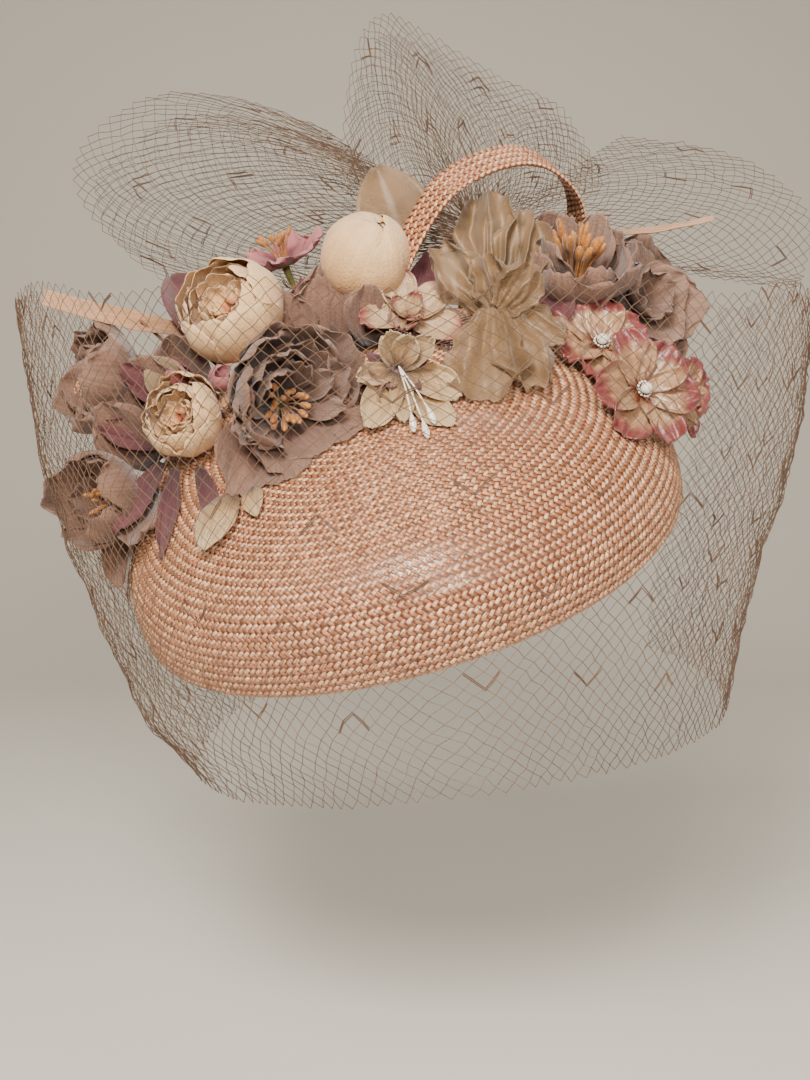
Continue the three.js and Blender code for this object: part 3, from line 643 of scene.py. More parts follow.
def makeBraidLoop(name, loop):
    draw = random.Random(len(name))
    a = Vector(loop["across"]).normalized()
    b = Vector(loop["up"]).normalized()
    axis = a.cross(b).normalized()
    centre = above(*loop["centre"])
    arch = []
    for step in range(5):
        turn = math.radians(loop["start"] + (loop["end"] - loop["start"]) * step / 4)
        arch.append(centre + a * loop["halfSpan"] * math.cos(turn) + b * loop["rise"] * math.sin(turn))
    first, last = [above(*foot, 1.1) for foot in loop["feet"]]
    path = [first] + arch + [last]
    steps = 90

    def ribbonPoint(u, v, lift=0.0):
        taper = min(1, 0.2 + 6 * min(v, 1 - v))
        along = (catmull(path, min(v + 0.005, 1)) - catmull(path, max(v - 0.005, 0))).normalized()
        out = axis.cross(along).normalized()
        return (catmull(path, v) + axis * ((u - 0.5) * braid["width"] * taper) + out * lift), along, out

    bm = bmesh.new()
    bmesh.ops.create_grid(bm, x_segments=6, y_segments=steps, size=0.5)
    for vert in bm.verts:
        vert.co = ribbonPoint(vert.co.x + 0.5, vert.co.y + 0.5)[0]
    bmesh.ops.solidify(bm, geom=bm.faces, thickness=braid["wall"] / 2)
    # the braid's band keeps tone 0, the darkest straw colour: painted shade in the gaps between the floats
    bm.verts.layers.float.new("tone")
    length = sum((catmull(path, (i + 1) / steps) - catmull(path, i / steps)).length for i in range(steps))
    count = round(length / weave["floatPitch"])
    places = []
    for column in range(braid["plaits"]):
        u = (column + 0.5) / braid["plaits"]
        for index in range(count):
            v = (index + 0.5 + 0.5 * (column % 2)) / (count + 1)
            for face in (1, -1):
                point, along, out = ribbonPoint(u, v, 0.3 * face)
                lean = (weave["slant"] if column % 2 else -weave["slant"]) * face
                across = (out * face).cross(along)
                ridge = weave["ridge"] if column % 2 else -weave["ridge"]
                places.append(floatPlace(point, along, across, lean + draw.uniform(-5, 5), ridge))
    stampFloats(bm, places, draw)
    makePiece(name, meshFrom(bm), strawFinish)


for loopName, loopShape in loops.items():
    makeBraidLoop(loopName, loopShape)
print("the straw loops are plaited")


# ---- inside of the crown: lining, headband, comb and tabs ----

band = {"inset": 17, "height": 20, "wall": 1.2, "ribs": 320, "ribDepth": 0.22}
lining = {"drop": 2.7, "pleats": 34, "pleatDepth": 0.9}


def makeLiningPiece():
    reach = crown["halfWidth"] - band["inset"]
    profile = [(r, h) for r, h in crownProfile(lining["drop"]) if r < reach and h > 0]
    tucked = reach + 0.7
    profile += [(tucked, band["height"] + 4), (tucked + 0.2, band["height"] - 4)]  # behind the headband
    bm = turnedOval(profile, 272)
    for vert in bm.verts:
        radius = math.hypot(vert.co.x, vert.co.y)
        angle = math.atan2(vert.co.y, vert.co.x)
        pleat = 0.5 + 0.5 * math.sin(lining["pleats"] * angle + 2 * ripple(radius / 30, angle, 0))
        soft = min(radius / 25, 1)
        drop = lining["pleatDepth"] * pleat * soft
        vert.co = ovalPlace(radius * (1 - drop / 100), vert.co.z - drop, angle)
    bmesh.ops.recalc_face_normals(bm, faces=bm.faces)
    makePiece("crownLining", meshFrom(bm), liningFinish, wall=0.25)


def makeHeadbandPiece():
    radius = crown["halfWidth"] - band["inset"]
    top = band["height"]
    foldTop = -crown["rollRadius"] - 0.35
    foldReach = crown["halfWidth"] - crown["rollRadius"] - 1
    inner = radius - band["wall"]
    low = foldTop - band["wall"]
    profile = [(radius, foldTop), (radius, top), (inner, top), (inner, top * 0.6), (inner, top * 0.2),
               (inner, low), (foldReach, low), (foldReach, foldTop), (radius, foldTop)]
    bm = turnedOval(profile, band["ribs"] * 4)
    bmesh.ops.recalc_face_normals(bm, faces=bm.faces)
    for vert in bm.verts:
        angle = math.atan2(vert.co.y, vert.co.x)
        rib = band["ribDepth"] * 0.5 * (1 + math.cos(band["ribs"] * angle))
        shrink = rib if math.hypot(vert.co.x, vert.co.y) < radius - 0.1 else 0
        drop = rib * 0.6 if vert.co.z < low + 0.1 else 0
        vert.co = ovalPlace(math.hypot(vert.co.x, vert.co.y) - shrink, vert.co.z - drop, angle)
    makePiece("headbandRibbon", meshFrom(bm), ribbonFinish)


def softenedCopy(name, node, finish, bevel, body="hat"):
    # the same shape with its sharp edges rounded
    bm = bmesh.new()
    bm.from_mesh(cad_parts[node].data)
    bmesh.ops.scale(bm, vec=(1000, 1000, 1000), verts=bm.verts)
    bmesh.ops.remove_doubles(bm, verts=bm.verts, dist=1e-3)
    bmesh.ops.dissolve_limit(bm, angle_limit=0.02, verts=bm.verts, edges=bm.edges)
    return makePiece(name, meshFrom(bm), finish, body=body, bevel=bevel, smooth=False)


makeLiningPiece()
makeHeadbandPiece()
softenedCopy("hairComb", "hair_comb", combFinish, 0.3, body="comb")
for side in ("left", "right"):
    softenedCopy("combTape" + side.capitalize(), "comb_tape_" + side, ribbonFinish, 0.15)
    softenedCopy("elasticTab" + side.capitalize(), "elastic_tab_" + side, ribbonFinish,
                 0.2)
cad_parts["rim_wire"].data.materials.clear()
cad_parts["rim_wire"].data.materials.append(wireFinish)
print("lining, headband and comb are in")


# ---- petals ----

petalStart = {"length": 24, "width": 20, "root": 2, "rise": 0, "open": 60, "tip": 30, "bend": 1.0,
              "cup": 26, "round": 0.3, "claw": 0.35, "widest": 0.62, "tipWidth": 0.5, "ruffle": 1.2,
              "waves": 3, "crease": 0.35, "creases": 9, "jag": 0.03, "groove": 0, "across": 22,
              "along": 24, "twist": 0, "pleats": 0}


def petalShape(**changes):
    return {**petalStart, **changes}


def petalSpine(shape, steps=24):
    # the petal's middle line, as (distance from the axis, height, lean from the axis)
    radius, height = shape["root"], shape["rise"]
    stride = shape["length"] / steps
    spine = []
    for step in range(steps + 1):
        share = step / steps
        lean = math.radians(shape["open"] + (shape["tip"] - shape["open"]) * share ** shape["bend"])
        spine.append((radius, height, lean))
        radius += stride * math.sin(lean)
        height += stride * math.cos(lean)
    return spine


def petalHalfWidth(shape, v):
    if v < shape["widest"]:
        return shape["claw"] + (1 - shape["claw"]) * math.sin(math.pi / 2 * v / shape["widest"]) ** 0.9
    past = (v - shape["widest"]) / (1 - shape["widest"])
    return math.sqrt(max(0.0, 1 - past ** 2 * (1 - shape["tipWidth"] ** 2)))


def addPetal(bm, place, azimuth, shape, seed):
    # a grid bent over the petal's middle line, cupped across and ruffled at its edge
    spine = petalSpine(shape)
    last = len(spine) - 1
    layer = bm.loops.layers.uv.get("petal") or bm.loops.layers.uv.new("petal")
    made = bmesh.ops.create_grid(bm, x_segments=shape["across"], y_segments=shape["along"], size=1)
    faces = {face for vert in made["verts"] for face in vert.link_faces}
    for face in faces:
        for loop in face.loops:
            loop[layer].uv = ((loop.vert.co.x + 1) / 2 + seed, (loop.vert.co.y + 1) / 2)
    turn = math.radians(azimuth)
    for vert in made["verts"]:
        u, v = vert.co.x, (vert.co.y + 1) / 2
        fray = shape["jag"] * (ripple(u * 5, seed * 3.1, v)
                               + 0.5 * ripple(u * 17, seed * 1.9, v))
        reach = v * (1 + fray * v) - shape["round"] * abs(u) ** 2.2 * v ** 3
        spot = min(max(reach, 0), 1) * last
        low = min(int(spot), last - 1)
        share = spot - low
        radius, height, lean = [p + (q - p) * share for p, q in zip(spine[low], spine[low + 1])]
        over = max(reach - 1, 0) * shape["length"]
        half = shape["width"] / 2 * petalHalfWidth(shape, v)
        wrap = half * u / shape["cup"]
        sideways = shape["cup"] * math.sin(wrap)
        lift = shape["cup"] * (1 - math.cos(wrap))
        edge = 0.35 + 0.65 * abs(u)
        lift += shape["ruffle"] * v * v * math.sin(math.pi * shape["waves"] * u + seed * 1.7) * edge
        lift += shape["ruffle"] * 0.8 * v * ripple(u * 1.3, v * 1.6, seed * 5.3)
        lift += shape["crease"] * ripple(u * shape["creases"], v * 2.2, seed * 2.3)
        lift += 0.3 * shape["crease"] * ripple(u * shape["creases"] * 2.6, v * 6, seed * 4.1)
        lift += shape["pleats"] * math.cos(u * 13) * math.sin(math.pi * min(v * 1.05, 1))
        lift -= shape["groove"] * math.exp(-(u / 0.14) ** 2) * math.sin(math.pi * min(v * 1.1, 1))
        sideways += shape["twist"] * v * v
        outX = radius + over * math.sin(lean) - lift * math.cos(lean)
        outZ = height + over * math.cos(lean) + lift * math.sin(lean)
        local = Vector((outX * math.cos(turn) + sideways * math.sin(turn),
                        outX * math.sin(turn) - sideways * math.cos(turn), outZ))
        vert.co = restOnCrown(place @ local, 0.7 + 0.12 * (seed % 6))


def addRing(bm, place, count, start, shape, draw, vary=0.1, sweep=360):
    for index in range(count):
        azimuth = start + sweep * index / count + draw.uniform(-9, 9)
        changed = dict(shape)
        changed["length"] *= 1 + draw.uniform(-vary, vary)
        changed["width"] *= 1 + draw.uniform(-vary, vary)
        changed["open"] += draw.uniform(-5, 5)
        changed["tip"] += draw.uniform(-9, 9)
        addPetal(bm, place, azimuth, changed, draw.uniform(0, 60) // 1)


spots = {
    "centrePeony": (180, 0.26, 8, (0.22, -0.86, 0.18)),
    "rightPeony": (29, 0.83, 15, (0.05, -0.5, 0.87)),
    "lowLeftPeony": (165, 0.9, 6, (-0.65, -0.75, 0)),
    "leftPeony": (143, 0.84, 24, (-0.8, -0.4, 0.2)),
    "farRightPeony": (29, 0.97, 24, (0.5, -0.8, 0.3)),
    "topRose": (119, 0.61, 13, (-0.38, -0.78, 0.5)),
    "leftRose": (160, 0.6, 5.5, (-0.3, -0.9, 0.3)),
    "creamBud": (84, 0.58, 14, (0.3, -0.6, 0.75)),
    "backBloom": (99, 0.82, 27, (-0.3, -0.3, 0.9)),
    "pinkSatin": (57, 0.4, 8, (0, -0.75, 0.65)),
    "satinBell": (355, 0.14, 8, (0.1, -0.9, 0.4)),
    "velvetUpper": (9, 0.8, 8, (0.1, -0.75, 0.65)),
    "velvetLower": (351, 0.86, 8, (0.4, -0.85, 0.3)),
    "velvetSide": (9, 0.99, 14, (0.8, -0.6, 0.1)),
    "velvetTip": (357, 0.96, 9, (0.85, -0.5, 0.1)),
}


def flowerPlace(name):
    degrees, out, lift, looks = spots[name]
    return facing(above(degrees, out, lift), looks)


def makeRings(name, place, draw, rings, finish, wall=0.15):
    # each ring is (petals, first azimuth, petal, how much they vary, and its sweep if it isn't whole)
    bm = bmesh.new()
    for count, start, shape, *more in rings:
        addRing(bm, place, count, start, shape, draw, *more)
    makePiece(name, meshFrom(bm), finish, wall=wall)


def makePetals(name, place, groups, finish):
    # each group is (petals, its first seed, and the shape that its petals share)
    bm = bmesh.new()
    for petals, seed, shared in groups:
        addPetals(bm, place, petals, seed, **shared)
    makePiece(name, meshFrom(bm), finish, wall=0.15)


def makeStemPiece(spotName, finish=stemFinish, sepalFinish=leafGreenFinish, sepals=5, sepalLength=9):
    # sepals behind the flower and its wound wire down to the crown
    degrees, out, _, looks = spots[spotName]
    place = flowerPlace(spotName)
    name = spotName + "Stem"
    draw = random.Random(len(name) * 7)
    bm = bmesh.new()
    shape = petalShape(length=sepalLength, width=5, root=0.8, rise=-2.2, open=62, tip=40, tipWidth=0.1,
                       round=0, widest=0.4, cup=6, ruffle=0.3, across=4, along=6, jag=0)
    addRing(bm, place, sepals, 20, shape, draw)
    bmesh.ops.solidify(bm, geom=bm.faces, thickness=0.3)
    back = -Vector(looks).normalized()
    start = place @ Vector((0, 0, -1.2))
    foot = above(degrees, out, 0.4)
    line = [(start, 2.6), (start + back * 1.5, 1.6), (start.lerp(foot, 0.5), 1.0), (foot, 1.0)]
    meshes = [meshFrom(bm), threadMesh([line], 1.0, sides=8)]
    makePiece(name, joinMeshes(meshes), [sepalFinish, finish])


def makeStamens(spotName, count, length, spread, seed, club=1.0, droop=0.0, wire=0.28):
    # gold clubs on fine wires, leaning out from the middle of the flower
    place = flowerPlace(spotName)
    draw = random.Random(seed)
    base = 1.5
    floor = 2.0
    lines = []
    for index in range(count):
        turn = 2 * math.pi * (index + draw.uniform(-0.3, 0.3)) / count
        lean = math.radians(spread) * math.sqrt(draw.uniform(0.05, 1))
        size = length * draw.uniform(0.78, 1.1)
        line = []
        for step, share in enumerate((1, 1, 1, 1.1, 2.6, 3.2, 2.9, 1.2)):
            v = (0, 0.25, 0.5, 0.66, 0.72, 0.82, 0.94, 1)[step]
            bow = lean * (0.6 + 0.4 * v)
            local = Vector((math.cos(turn) * (base + size * v * math.sin(bow)),
                            math.sin(turn) * (base + size * v * math.sin(bow)) - droop * v * v,
                            floor + size * v * math.cos(bow)))
            line.append((place @ local, share * (club if step > 3 else 1)))
        lines.append(line)
    makePiece(spotName + "Stamens", threadMesh(lines, wire, sides=6), goldFinish)


# ---- silk peonies ----

def cupPetal(radius, tip, width, **changes):
    # a petal bent round a ball of this radius; tip is its last lean, below zero when it closes over
    length = radius * math.radians(88 - tip)
    return petalShape(length=length, width=width, open=88, tip=tip, cup=radius * 0.95, **changes)


def addPetals(bm, place, petals, seed=1, **shared):
    # petals one by one, as (azimuth, length, width, opening, tip, cup)
    for index, (azimuth, length, width, opening, tip, cup) in enumerate(petals):
        shape = petalShape(length=length, width=width, open=opening, tip=tip, cup=cup, **shared)
        addPetal(bm, place, azimuth, shape, seed + index * 3)


silk = {"ruffle": 1.7, "crease": 0.55, "jag": 0.045, "round": 0.22, "tipWidth": 0.62, "waves": 2.4}


def makeCentrePeony():
    place = flowerPlace("centrePeony")
    outer = [
        (172, 35, 36, 72, -34, 19), (128, 38, 38, 74, -28, 21), (84, 38, 38, 76, -18, 22),
        (212, 31, 30, 76, -18, 17), (38, 37, 34, 80, 4, 24), (4, 36, 32, 84, 22, 24),
        (-36, 34, 32, 88, 56, 26), (-76, 36, 36, 90, 70, 30), (-116, 34, 32, 90, 62, 26)]
    middle = [
        (150, 29, 26, 62, -30, 14), (104, 30, 28, 62, -26, 15), (62, 29, 24, 66, -6, 15),
        (22, 28, 22, 72, 12, 16), (-18, 28, 22, 76, 32, 16), (-58, 27, 24, 80, 46, 18),
        (-98, 26, 24, 78, 40, 16), (-140, 25, 22, 72, 24, 14)]
    inner = [
        (192, 24, 10, 52, -4, 7), (222, 25, 9, 60, 18, 7), (156, 22, 14, 50, -40, 9),
        (112, 22, 15, 52, -46, 9), (64, 23, 12, 50, -22, 8), (24, 23, 10, 54, 6, 7),
        (-12, 22, 10, 58, 22, 7)]
    makePetals("centrePeonyPetals", place, [
        (outer, 3, {**silk, "root": 3}), (middle, 31, {**silk, "root": 3, "rise": 1.2})],
        mauveFinish)
    makePetals("centrePeonyInnerPetals", place, [
        (inner, 51, {**silk, "root": 4.5, "rise": 1.8, "ruffle": 1.0})], mauvePaleFinish)
    makeStamens("centrePeony", 18, 12, 36, seed=5, club=1.25, droop=3)
    makeStemPiece("centrePeony")


def makeRightPeony():
    place = flowerPlace("rightPeony")
    draw = random.Random(32)
    creased = {**silk, "crease": 0.8, "creases": 13}
    makeRings("rightPeonyPetals", place, draw, [
        (5, 250, cupPetal(19, -8, 36, root=3, **creased), 0.06),
        (5, 285, cupPetal(17, -14, 31, root=3, rise=1, **creased), 0.06)], mauveFinish)
    inner = petalShape(length=26, width=20, open=44, tip=2, cup=14, root=4, rise=1.5, **silk)
    makeRings("rightPeonyInnerPetals", place, draw, [(5, 60, inner, 0.1, 190)], mauvePaleFinish)
    makeStamens("rightPeony", 15, 25, 24, seed=8, club=1.35, wire=0.33)
    makeStemPiece("rightPeony", sepals=6, sepalLength=13)


def makeLowLeftPeony():
    place = flowerPlace("lowLeftPeony")
    draw = random.Random(43)
    bm = bmesh.new()
    addRing(bm, place, 5, 30, cupPetal(15.5, -40, 30, root=2, **silk), draw, vary=0.05)
    trailing = petalShape(length=36, width=19, open=88, tip=74, cup=14, root=3, **silk)
    addPetal(bm, place, -66, trailing, 3)
    addPetal(bm, place, -96, {**trailing, "length": 30}, 5)
    makePiece("lowLeftPeonyPetals", meshFrom(bm), mauveFinish, wall=0.15)
    inner = cupPetal(11.5, -30, 20, root=2, rise=1.5, **silk)
    makeRings("lowLeftPeonyInnerPetals", place, draw, [(4, 0, inner, 0.08)], mauveFinish)
    makeStamens("lowLeftPeony", 9, 15, 20, seed=9)
    makeStemPiece("lowLeftPeony")


def makeSidePeonies():
    place = flowerPlace("leftPeony")
    draw = random.Random(54)
    makeRings("leftPeonyPetals", place, draw, [
        (5, 70, cupPetal(18, -18, 37, root=2, **{**silk, "ruffle": 2.4}), 0.06),
        (4, 20, cupPetal(15, -30, 30, root=2, rise=1, **{**silk, "ruffle": 2.2}), 0.06),
        (4, 50, cupPetal(11, -30, 22, root=2, rise=5, **silk), 0.06)], mauveFinish, wall=0.2)
    sepals = bmesh.new()
    green = petalShape(length=12, width=7, open=88, tip=40, root=1, rise=-1.2, tipWidth=0.1, round=0,
                       widest=0.4, cup=8, ruffle=0.3, across=4, along=6, jag=0)
    addRing(sepals, place, 5, 10, green, draw)
    bmesh.ops.solidify(sepals, geom=sepals.faces, thickness=0.3)
    makePiece("leftPeonyStem", joinMeshes([meshFrom(sepals), looseStem("leftPeony")]),
              [leafGreenFinish, stemFinish])

    flat = petalShape(length=29, width=31, open=88, tip=58, cup=30, root=1, **silk)
    upper = petalShape(length=23, width=26, open=80, tip=34, cup=20, root=1, rise=1.4, **silk)
    heart = petalShape(length=16, width=16, open=66, tip=-10, cup=11, root=1, rise=2.4, **silk)
    makeRings("farRightPeonyPetals", flowerPlace("farRightPeony"), draw, [
        (5, 70, flat), (4, 110, upper), (4, 30, heart)], mauvePaleFinish, wall=0.2)
    makePiece("farRightPeonyStem", looseStem("farRightPeony"), stemFinish)


def looseStem(name, radius=1.0):
    # the wound wire under a flower, down to the crown
    degrees, out, lift, _ = spots[name]
    top = flowerPlace(name) @ Vector((0, 0, -0.8))
    return threadMesh([[(top, 1.5), (above(degrees, out, lift * 0.5), 1), (above(degrees, out, 0.4), 1)]],
                      radius, sides=8)


makeCentrePeony()
makeRightPeony()
makeLowLeftPeony()
makeSidePeonies()
print("the peonies are made")


# ---- loose petals and leaves that fill the nest between the flowers ----

nest = {
    "mauveNest": {"finish": mauveFinish, "slot": "mauve_silk", "petals": [
        ((104, 0.36, 3), (-0.1, -0.6, 0.8), (90, 28, 28, 62, 10, 20)),
        ((92, 0.33, 3), (0.1, -0.6, 0.8), (60, 26, 26, 66, 14, 18)),
        ((118, 0.40, 3), (-0.2, -0.6, 0.8), (120, 27, 26, 62, 12, 18)),
        ((96, 0.42, 3), (0.0, -0.6, 0.8), (88, 30, 30, 48, 6, 22)),
        ((75, 0.30, 3), (0.2, -0.6, 0.8), (100, 22, 22, 56, 10, 16)),
        ((40, 0.62, 3), (0.2, -0.6, 0.8), (90, 26, 24, 50, 14, 18)),
        ((150, 0.78, 3), (-0.5, -0.6, 0.6), (100, 26, 24, 56, 16, 18)),
        ((172, 0.80, 3), (-0.6, -0.8, 0.2), (-60, 27, 22, 70, 40, 18)),
        ((152, 0.76, 4), (-0.3, -0.85, 0.4), (110, 32, 26, 56, 20, 20)),
        ((162, 0.80, 4), (-0.4, -0.85, 0.3), (130, 30, 24, 60, 24, 18)),
        ((142, 0.74, 6), (-0.2, -0.85, 0.4), (90, 30, 24, 50, 10, 18))]},
    "plumNest": {"finish": plumFinish, "slot": "plum_velvet", "petals": [
        ((176, 0.66, 6), (-0.3, -0.9, 0.2), (-84, 34, 9, 78, 70, 9)),
        ((184, 0.58, 5), (-0.2, -0.9, 0.2), (-60, 26, 8, 72, 66, 9)),
        ((168, 0.72, 6), (-0.4, -0.9, 0.2), (-110, 30, 11, 74, 62, 9)),
        ((158, 0.74, 5), (-0.4, -0.9, 0.2), (170, 26, 12, 60, 40, 9)),
        ((148, 0.70, 8), (-0.3, -0.9, 0.3), (150, 28, 13, 56, 30, 10)),
        ((150, 0.66, 2), (-0.4, -0.8, 0.5), (120, 26, 12, 60, 30, 10)),
        ((70, 0.34, 2), (0.0, -0.7, 0.7), (-30, 20, 10, 70, 60, 9)),
        ((110, 0.52, 2), (-0.1, -0.6, 0.8), (80, 26, 14, 46, 20, 10)),
        ((60, 0.5, 2), (0.1, -0.6, 0.8), (70, 26, 14, 46, 20, 10)),
        ((20, 0.66, 2), (0.2, -0.7, 0.7), (40, 24, 14, 52, 24, 10)),
        ((350, 0.2, 2), (0.1, -0.8, 0.6), (-70, 20, 9, 84, 90, 9)),
        ((140, 0.84, 3), (-0.6, -0.6, 0.5), (90, 24, 12, 60, 20, 10))]},
}


def makeNest():
    for name, group in nest.items():
        bm = bmesh.new()
        for seed, (spot, looks, petal) in enumerate(group["petals"]):
            addPetals(bm, facing(above(*spot), looks), [petal], seed=seed * 5 + len(name), root=0.5, **silk)
        makePiece(name, meshFrom(bm), group["finish"], wall=0.15)


makeNest()
print("the nest is filled")


# ---- cream roses and bud ----

roseRings = [(17.5, -46, 35, 5, 0), (15.2, -50, 30, 5, 2), (12.6, -46, 26, 4, 6), (9.6, -38, 21, 4, 11),
             (6.6, -26, 15, 3, 15.5), (3.8, -10, 9, 3, 18)]


def makeRose(name, radius, seed):
    # cups one inside the other: (ball radius, last lean, petal width, petals, height of its root)
    draw = random.Random(seed)
    size = radius / 18
    for part, rings, first in (("Petals", roseRings[:2], 24), ("Heart", roseRings[2:], 94)):
        cups = []
        for index, (ball, tip, width, count, rise) in enumerate(rings):
            shape = cupPetal(ball * size, tip, width * size, root=1.5 * size, rise=rise * size, ruffle=1.1,
                             crease=0.3, creases=7, jag=0.03, round=0.18, tipWidth=0.8, waves=2.6)
            cups.append((count, first + 38 * index, shape, 0.03))
        makeRings(name + part, flowerPlace(name), draw, cups, creamFinish)
    makeStemPiece(name)


def makeCreamBud():
    smooth = {"ruffle": 0.7, "crease": 0.25, "creases": 6, "jag": 0.02, "tipWidth": 0.62, "round": 0.04}
    cups = []
    for ball, tip, width, start in ((15.2, -92, 42, 100), (14.3, -94, 40, 40), (13, -94, 36, 80)):
        cups.append((3, start, cupPetal(ball, tip, width, root=1.2, rise=15.2 - ball, **smooth), 0.02))
    makeRings("creamBudPetals", flowerPlace("creamBud"), random.Random(66), cups, creamFinish)
    makeStemPiece("creamBud")


def makeBackBloom():
    shape = petalShape(length=19, width=15, open=82, tip=48, cup=16, ruffle=1.5, crease=0.6, root=1.5)
    makeRings("backBloomPetals", flowerPlace("backBloom"), random.Random(77), [(6, 10, shape)], roseFinish)
    makePiece("backBloomStem", looseStem("backBloom"), stemFinish)
    makeStamens("backBloom", 10, 12, 34, seed=4)


makeRose("topRose", 18, 61)
makeRose("leftRose", 13, 62)
makeCreamBud()
makeBackBloom()
print("roses, bud and back bloom are made")


# ---- satin and velvet blossoms ----

def makeSatinBlossoms():
    satin = {"ruffle": 0.9, "crease": 0.6, "creases": 6, "jag": 0.04, "tipWidth": 0.6, "round": 0.1,
             "claw": 0.3}
    outer = [(112, 19, 15, 74, 50, 9), (192, 17, 15, 84, 70, 8), (34, 18, 15, 80, 56, 9),
             (-30, 20, 16, 88, 78, 9), (256, 12, 10, 70, 40, 6)]
    inner = [(60, 9, 7, 60, 20, 5), (150, 9, 7, 60, 20, 5), (300, 9, 7, 60, 26, 5)]
    makePetals("pinkSatinBlossom", flowerPlace("pinkSatin"), [
        (outer, 2, {**satin, "root": 1, "groove": 0.9}),
        (inner, 21, {**satin, "root": 0.6, "rise": 1, "groove": 0.5})], blushFinish)
    makePiece("pinkSatinStem", looseStem("pinkSatin"), plumStemFinish)

    place = flowerPlace("satinBell")
    bell = [(205, 17, 10, 76, 50, 6), (244, 26, 14, 76, 76, 9), (270, 22, 9, 72, 72, 6),
            (329, 23, 14, 78, 74, 9), (300, 32, 13, 76, 80, 9), (24, 18, 11, 60, 10, 5),
            (62, 14, 12, 56, 0, 5), (120, 15, 12, 58, 8, 6)]
    creased = {**satin, "root": 1, "groove": 0.8, "pleats": 0.22, "ruffle": 0.7, "tipWidth": 0.45}
    makePetals("satinBellPetals", place, [(bell, 5, creased)], satinFinish)
    lines = []
    drops = []
    for azimuth, reach in ((-84, 27), (-76, 30), (-68, 26)):
        turn = math.radians(azimuth)
        way = Vector((math.cos(turn), math.sin(turn), 0))
        neck = place @ (way * (reach - 6) + Vector((0, 0, 11)))
        lines.append([(place @ Vector((0, 0, 1.8)), 1), (place @ (way * reach * 0.4 + Vector((0, 0, 8))), 1),
                      (neck, 1)])
        drops.append([(neck.lerp(place @ (way * reach + Vector((0, 0, 11))), share / 6), size)
                      for share, size in enumerate((0.3, 0.6, 0.85, 1, 1, 0.8, 0.35))])
    strung = joinMeshes([threadMesh(drops, 1.2, sides=12), threadMesh(lines, 0.3, sides=6)])
    makePiece("satinBellStamens", strung, pearlFinish)
    makeStemPiece("satinBell", plumStemFinish, sepalFinish=plumFinish, sepalLength=12)


velvets = {
    "velvetUpper": {"radius": 17.5, "bead": True, "turn": 20},
    "velvetLower": {"radius": 19.5, "bead": True, "turn": 55},
    "velvetSide": {"radius": 11.5, "bead": False, "turn": 10},
    "velvetTip": {"radius": 11.5, "bead": False, "turn": 35},
}


def makeVelvetBlossoms():
    draw = random.Random(91)
    for name, blossom in velvets.items():
        place = flowerPlace(name)
        size = blossom["radius"]
        shape = petalShape(length=size, width=size * 0.95, open=72, tip=80, cup=size * 0.55,
                           ruffle=size * 0.075, crease=size * 0.09, creases=5, groove=size * 0.05, root=0.8,
                           tipWidth=0.66, claw=0.28, waves=2.6, jag=0.035, round=0.16, pleats=size * 0.03)
        makeRings(name + "Petals", place, draw, [(6, blossom["turn"], shape, 0.08)], velvetFinish,
                  wall=0.3)
        makePiece(name + "Stem", looseStem(name, 0.9), stemFinish)
        if blossom["bead"]:
            bm = bmesh.new()
            bmesh.ops.create_uvsphere(bm, u_segments=16, v_segments=10, radius=2.0,
                                      matrix=place @ Matrix.Translation((0, 0, 3.4)))
            for index in range(14):
                turn = 2 * math.pi * index / 14
                small = Matrix.Translation((2.6 * math.cos(turn), 2.6 * math.sin(turn), 2.3))
                bmesh.ops.create_uvsphere(bm, u_segments=6, v_segments=4, radius=0.5, matrix=place @ small)
            makePiece(name + "Bead", meshFrom(bm), pearlFinish)


makeSatinBlossoms()
makeVelvetBlossoms()
print("satin and velvet blossoms are made")


# ---- leaves, quills and buds ----

leaves = {
    "plumLeaf": {"finish": plumFinish, "slot": "plum_velvet", "root": (130, 0.69, 8),
                 "tip": (121, 0.82, 44), "faces": (0.2, -1, 0.1), "width": 18, "fold": 0.7, "arch": 4},
    "satinLeaf": {"finish": satinFinish, "slot": "cream_satin",
                  "root": (210, 0.55, 3), "tip": (217, 0.75, 5), "faces": (-0.4, -0.7, 0.5), "width": 15,
                  "fold": -0.1, "arch": 2.5},
    "hydrangeaPetal": {"finish": oliveFinish, "slot": "silk_organza",
                       "root": (147, 0.68, 12), "tip": (145, 0.7, 30), "faces": (-0.2, -1, 0.2), "width": 15,
                       "fold": 0.15, "arch": 1.5},
    "organzaLeafBack": {"finish": organzaFinish, "slot": "silk_organza",
                        "root": (74, 0.9, 22), "tip": (78, 0.88, 56), "faces": (0, -1, 0.2), "width": 28,
                        "fold": 0.2, "arch": 3},
    "quillLeft": {"finish": quillFinish, "slot": "woven_straw",
                  "root": (135, 0.73, 36), "tip": (143, 0.81, 69), "faces": (0, -0.85, 0.5), "width": 9,
                  "fold": 0.15, "arch": -2, "behind": 0.4},
    "quillRight": {"finish": quillFinish, "slot": "woven_straw",
                   "root": (38, 0.91, 38), "tip": (23, 0.95, 64), "faces": (0, -0.4, 1), "width": 8,
                   "fold": 0.15, "arch": -2},
}


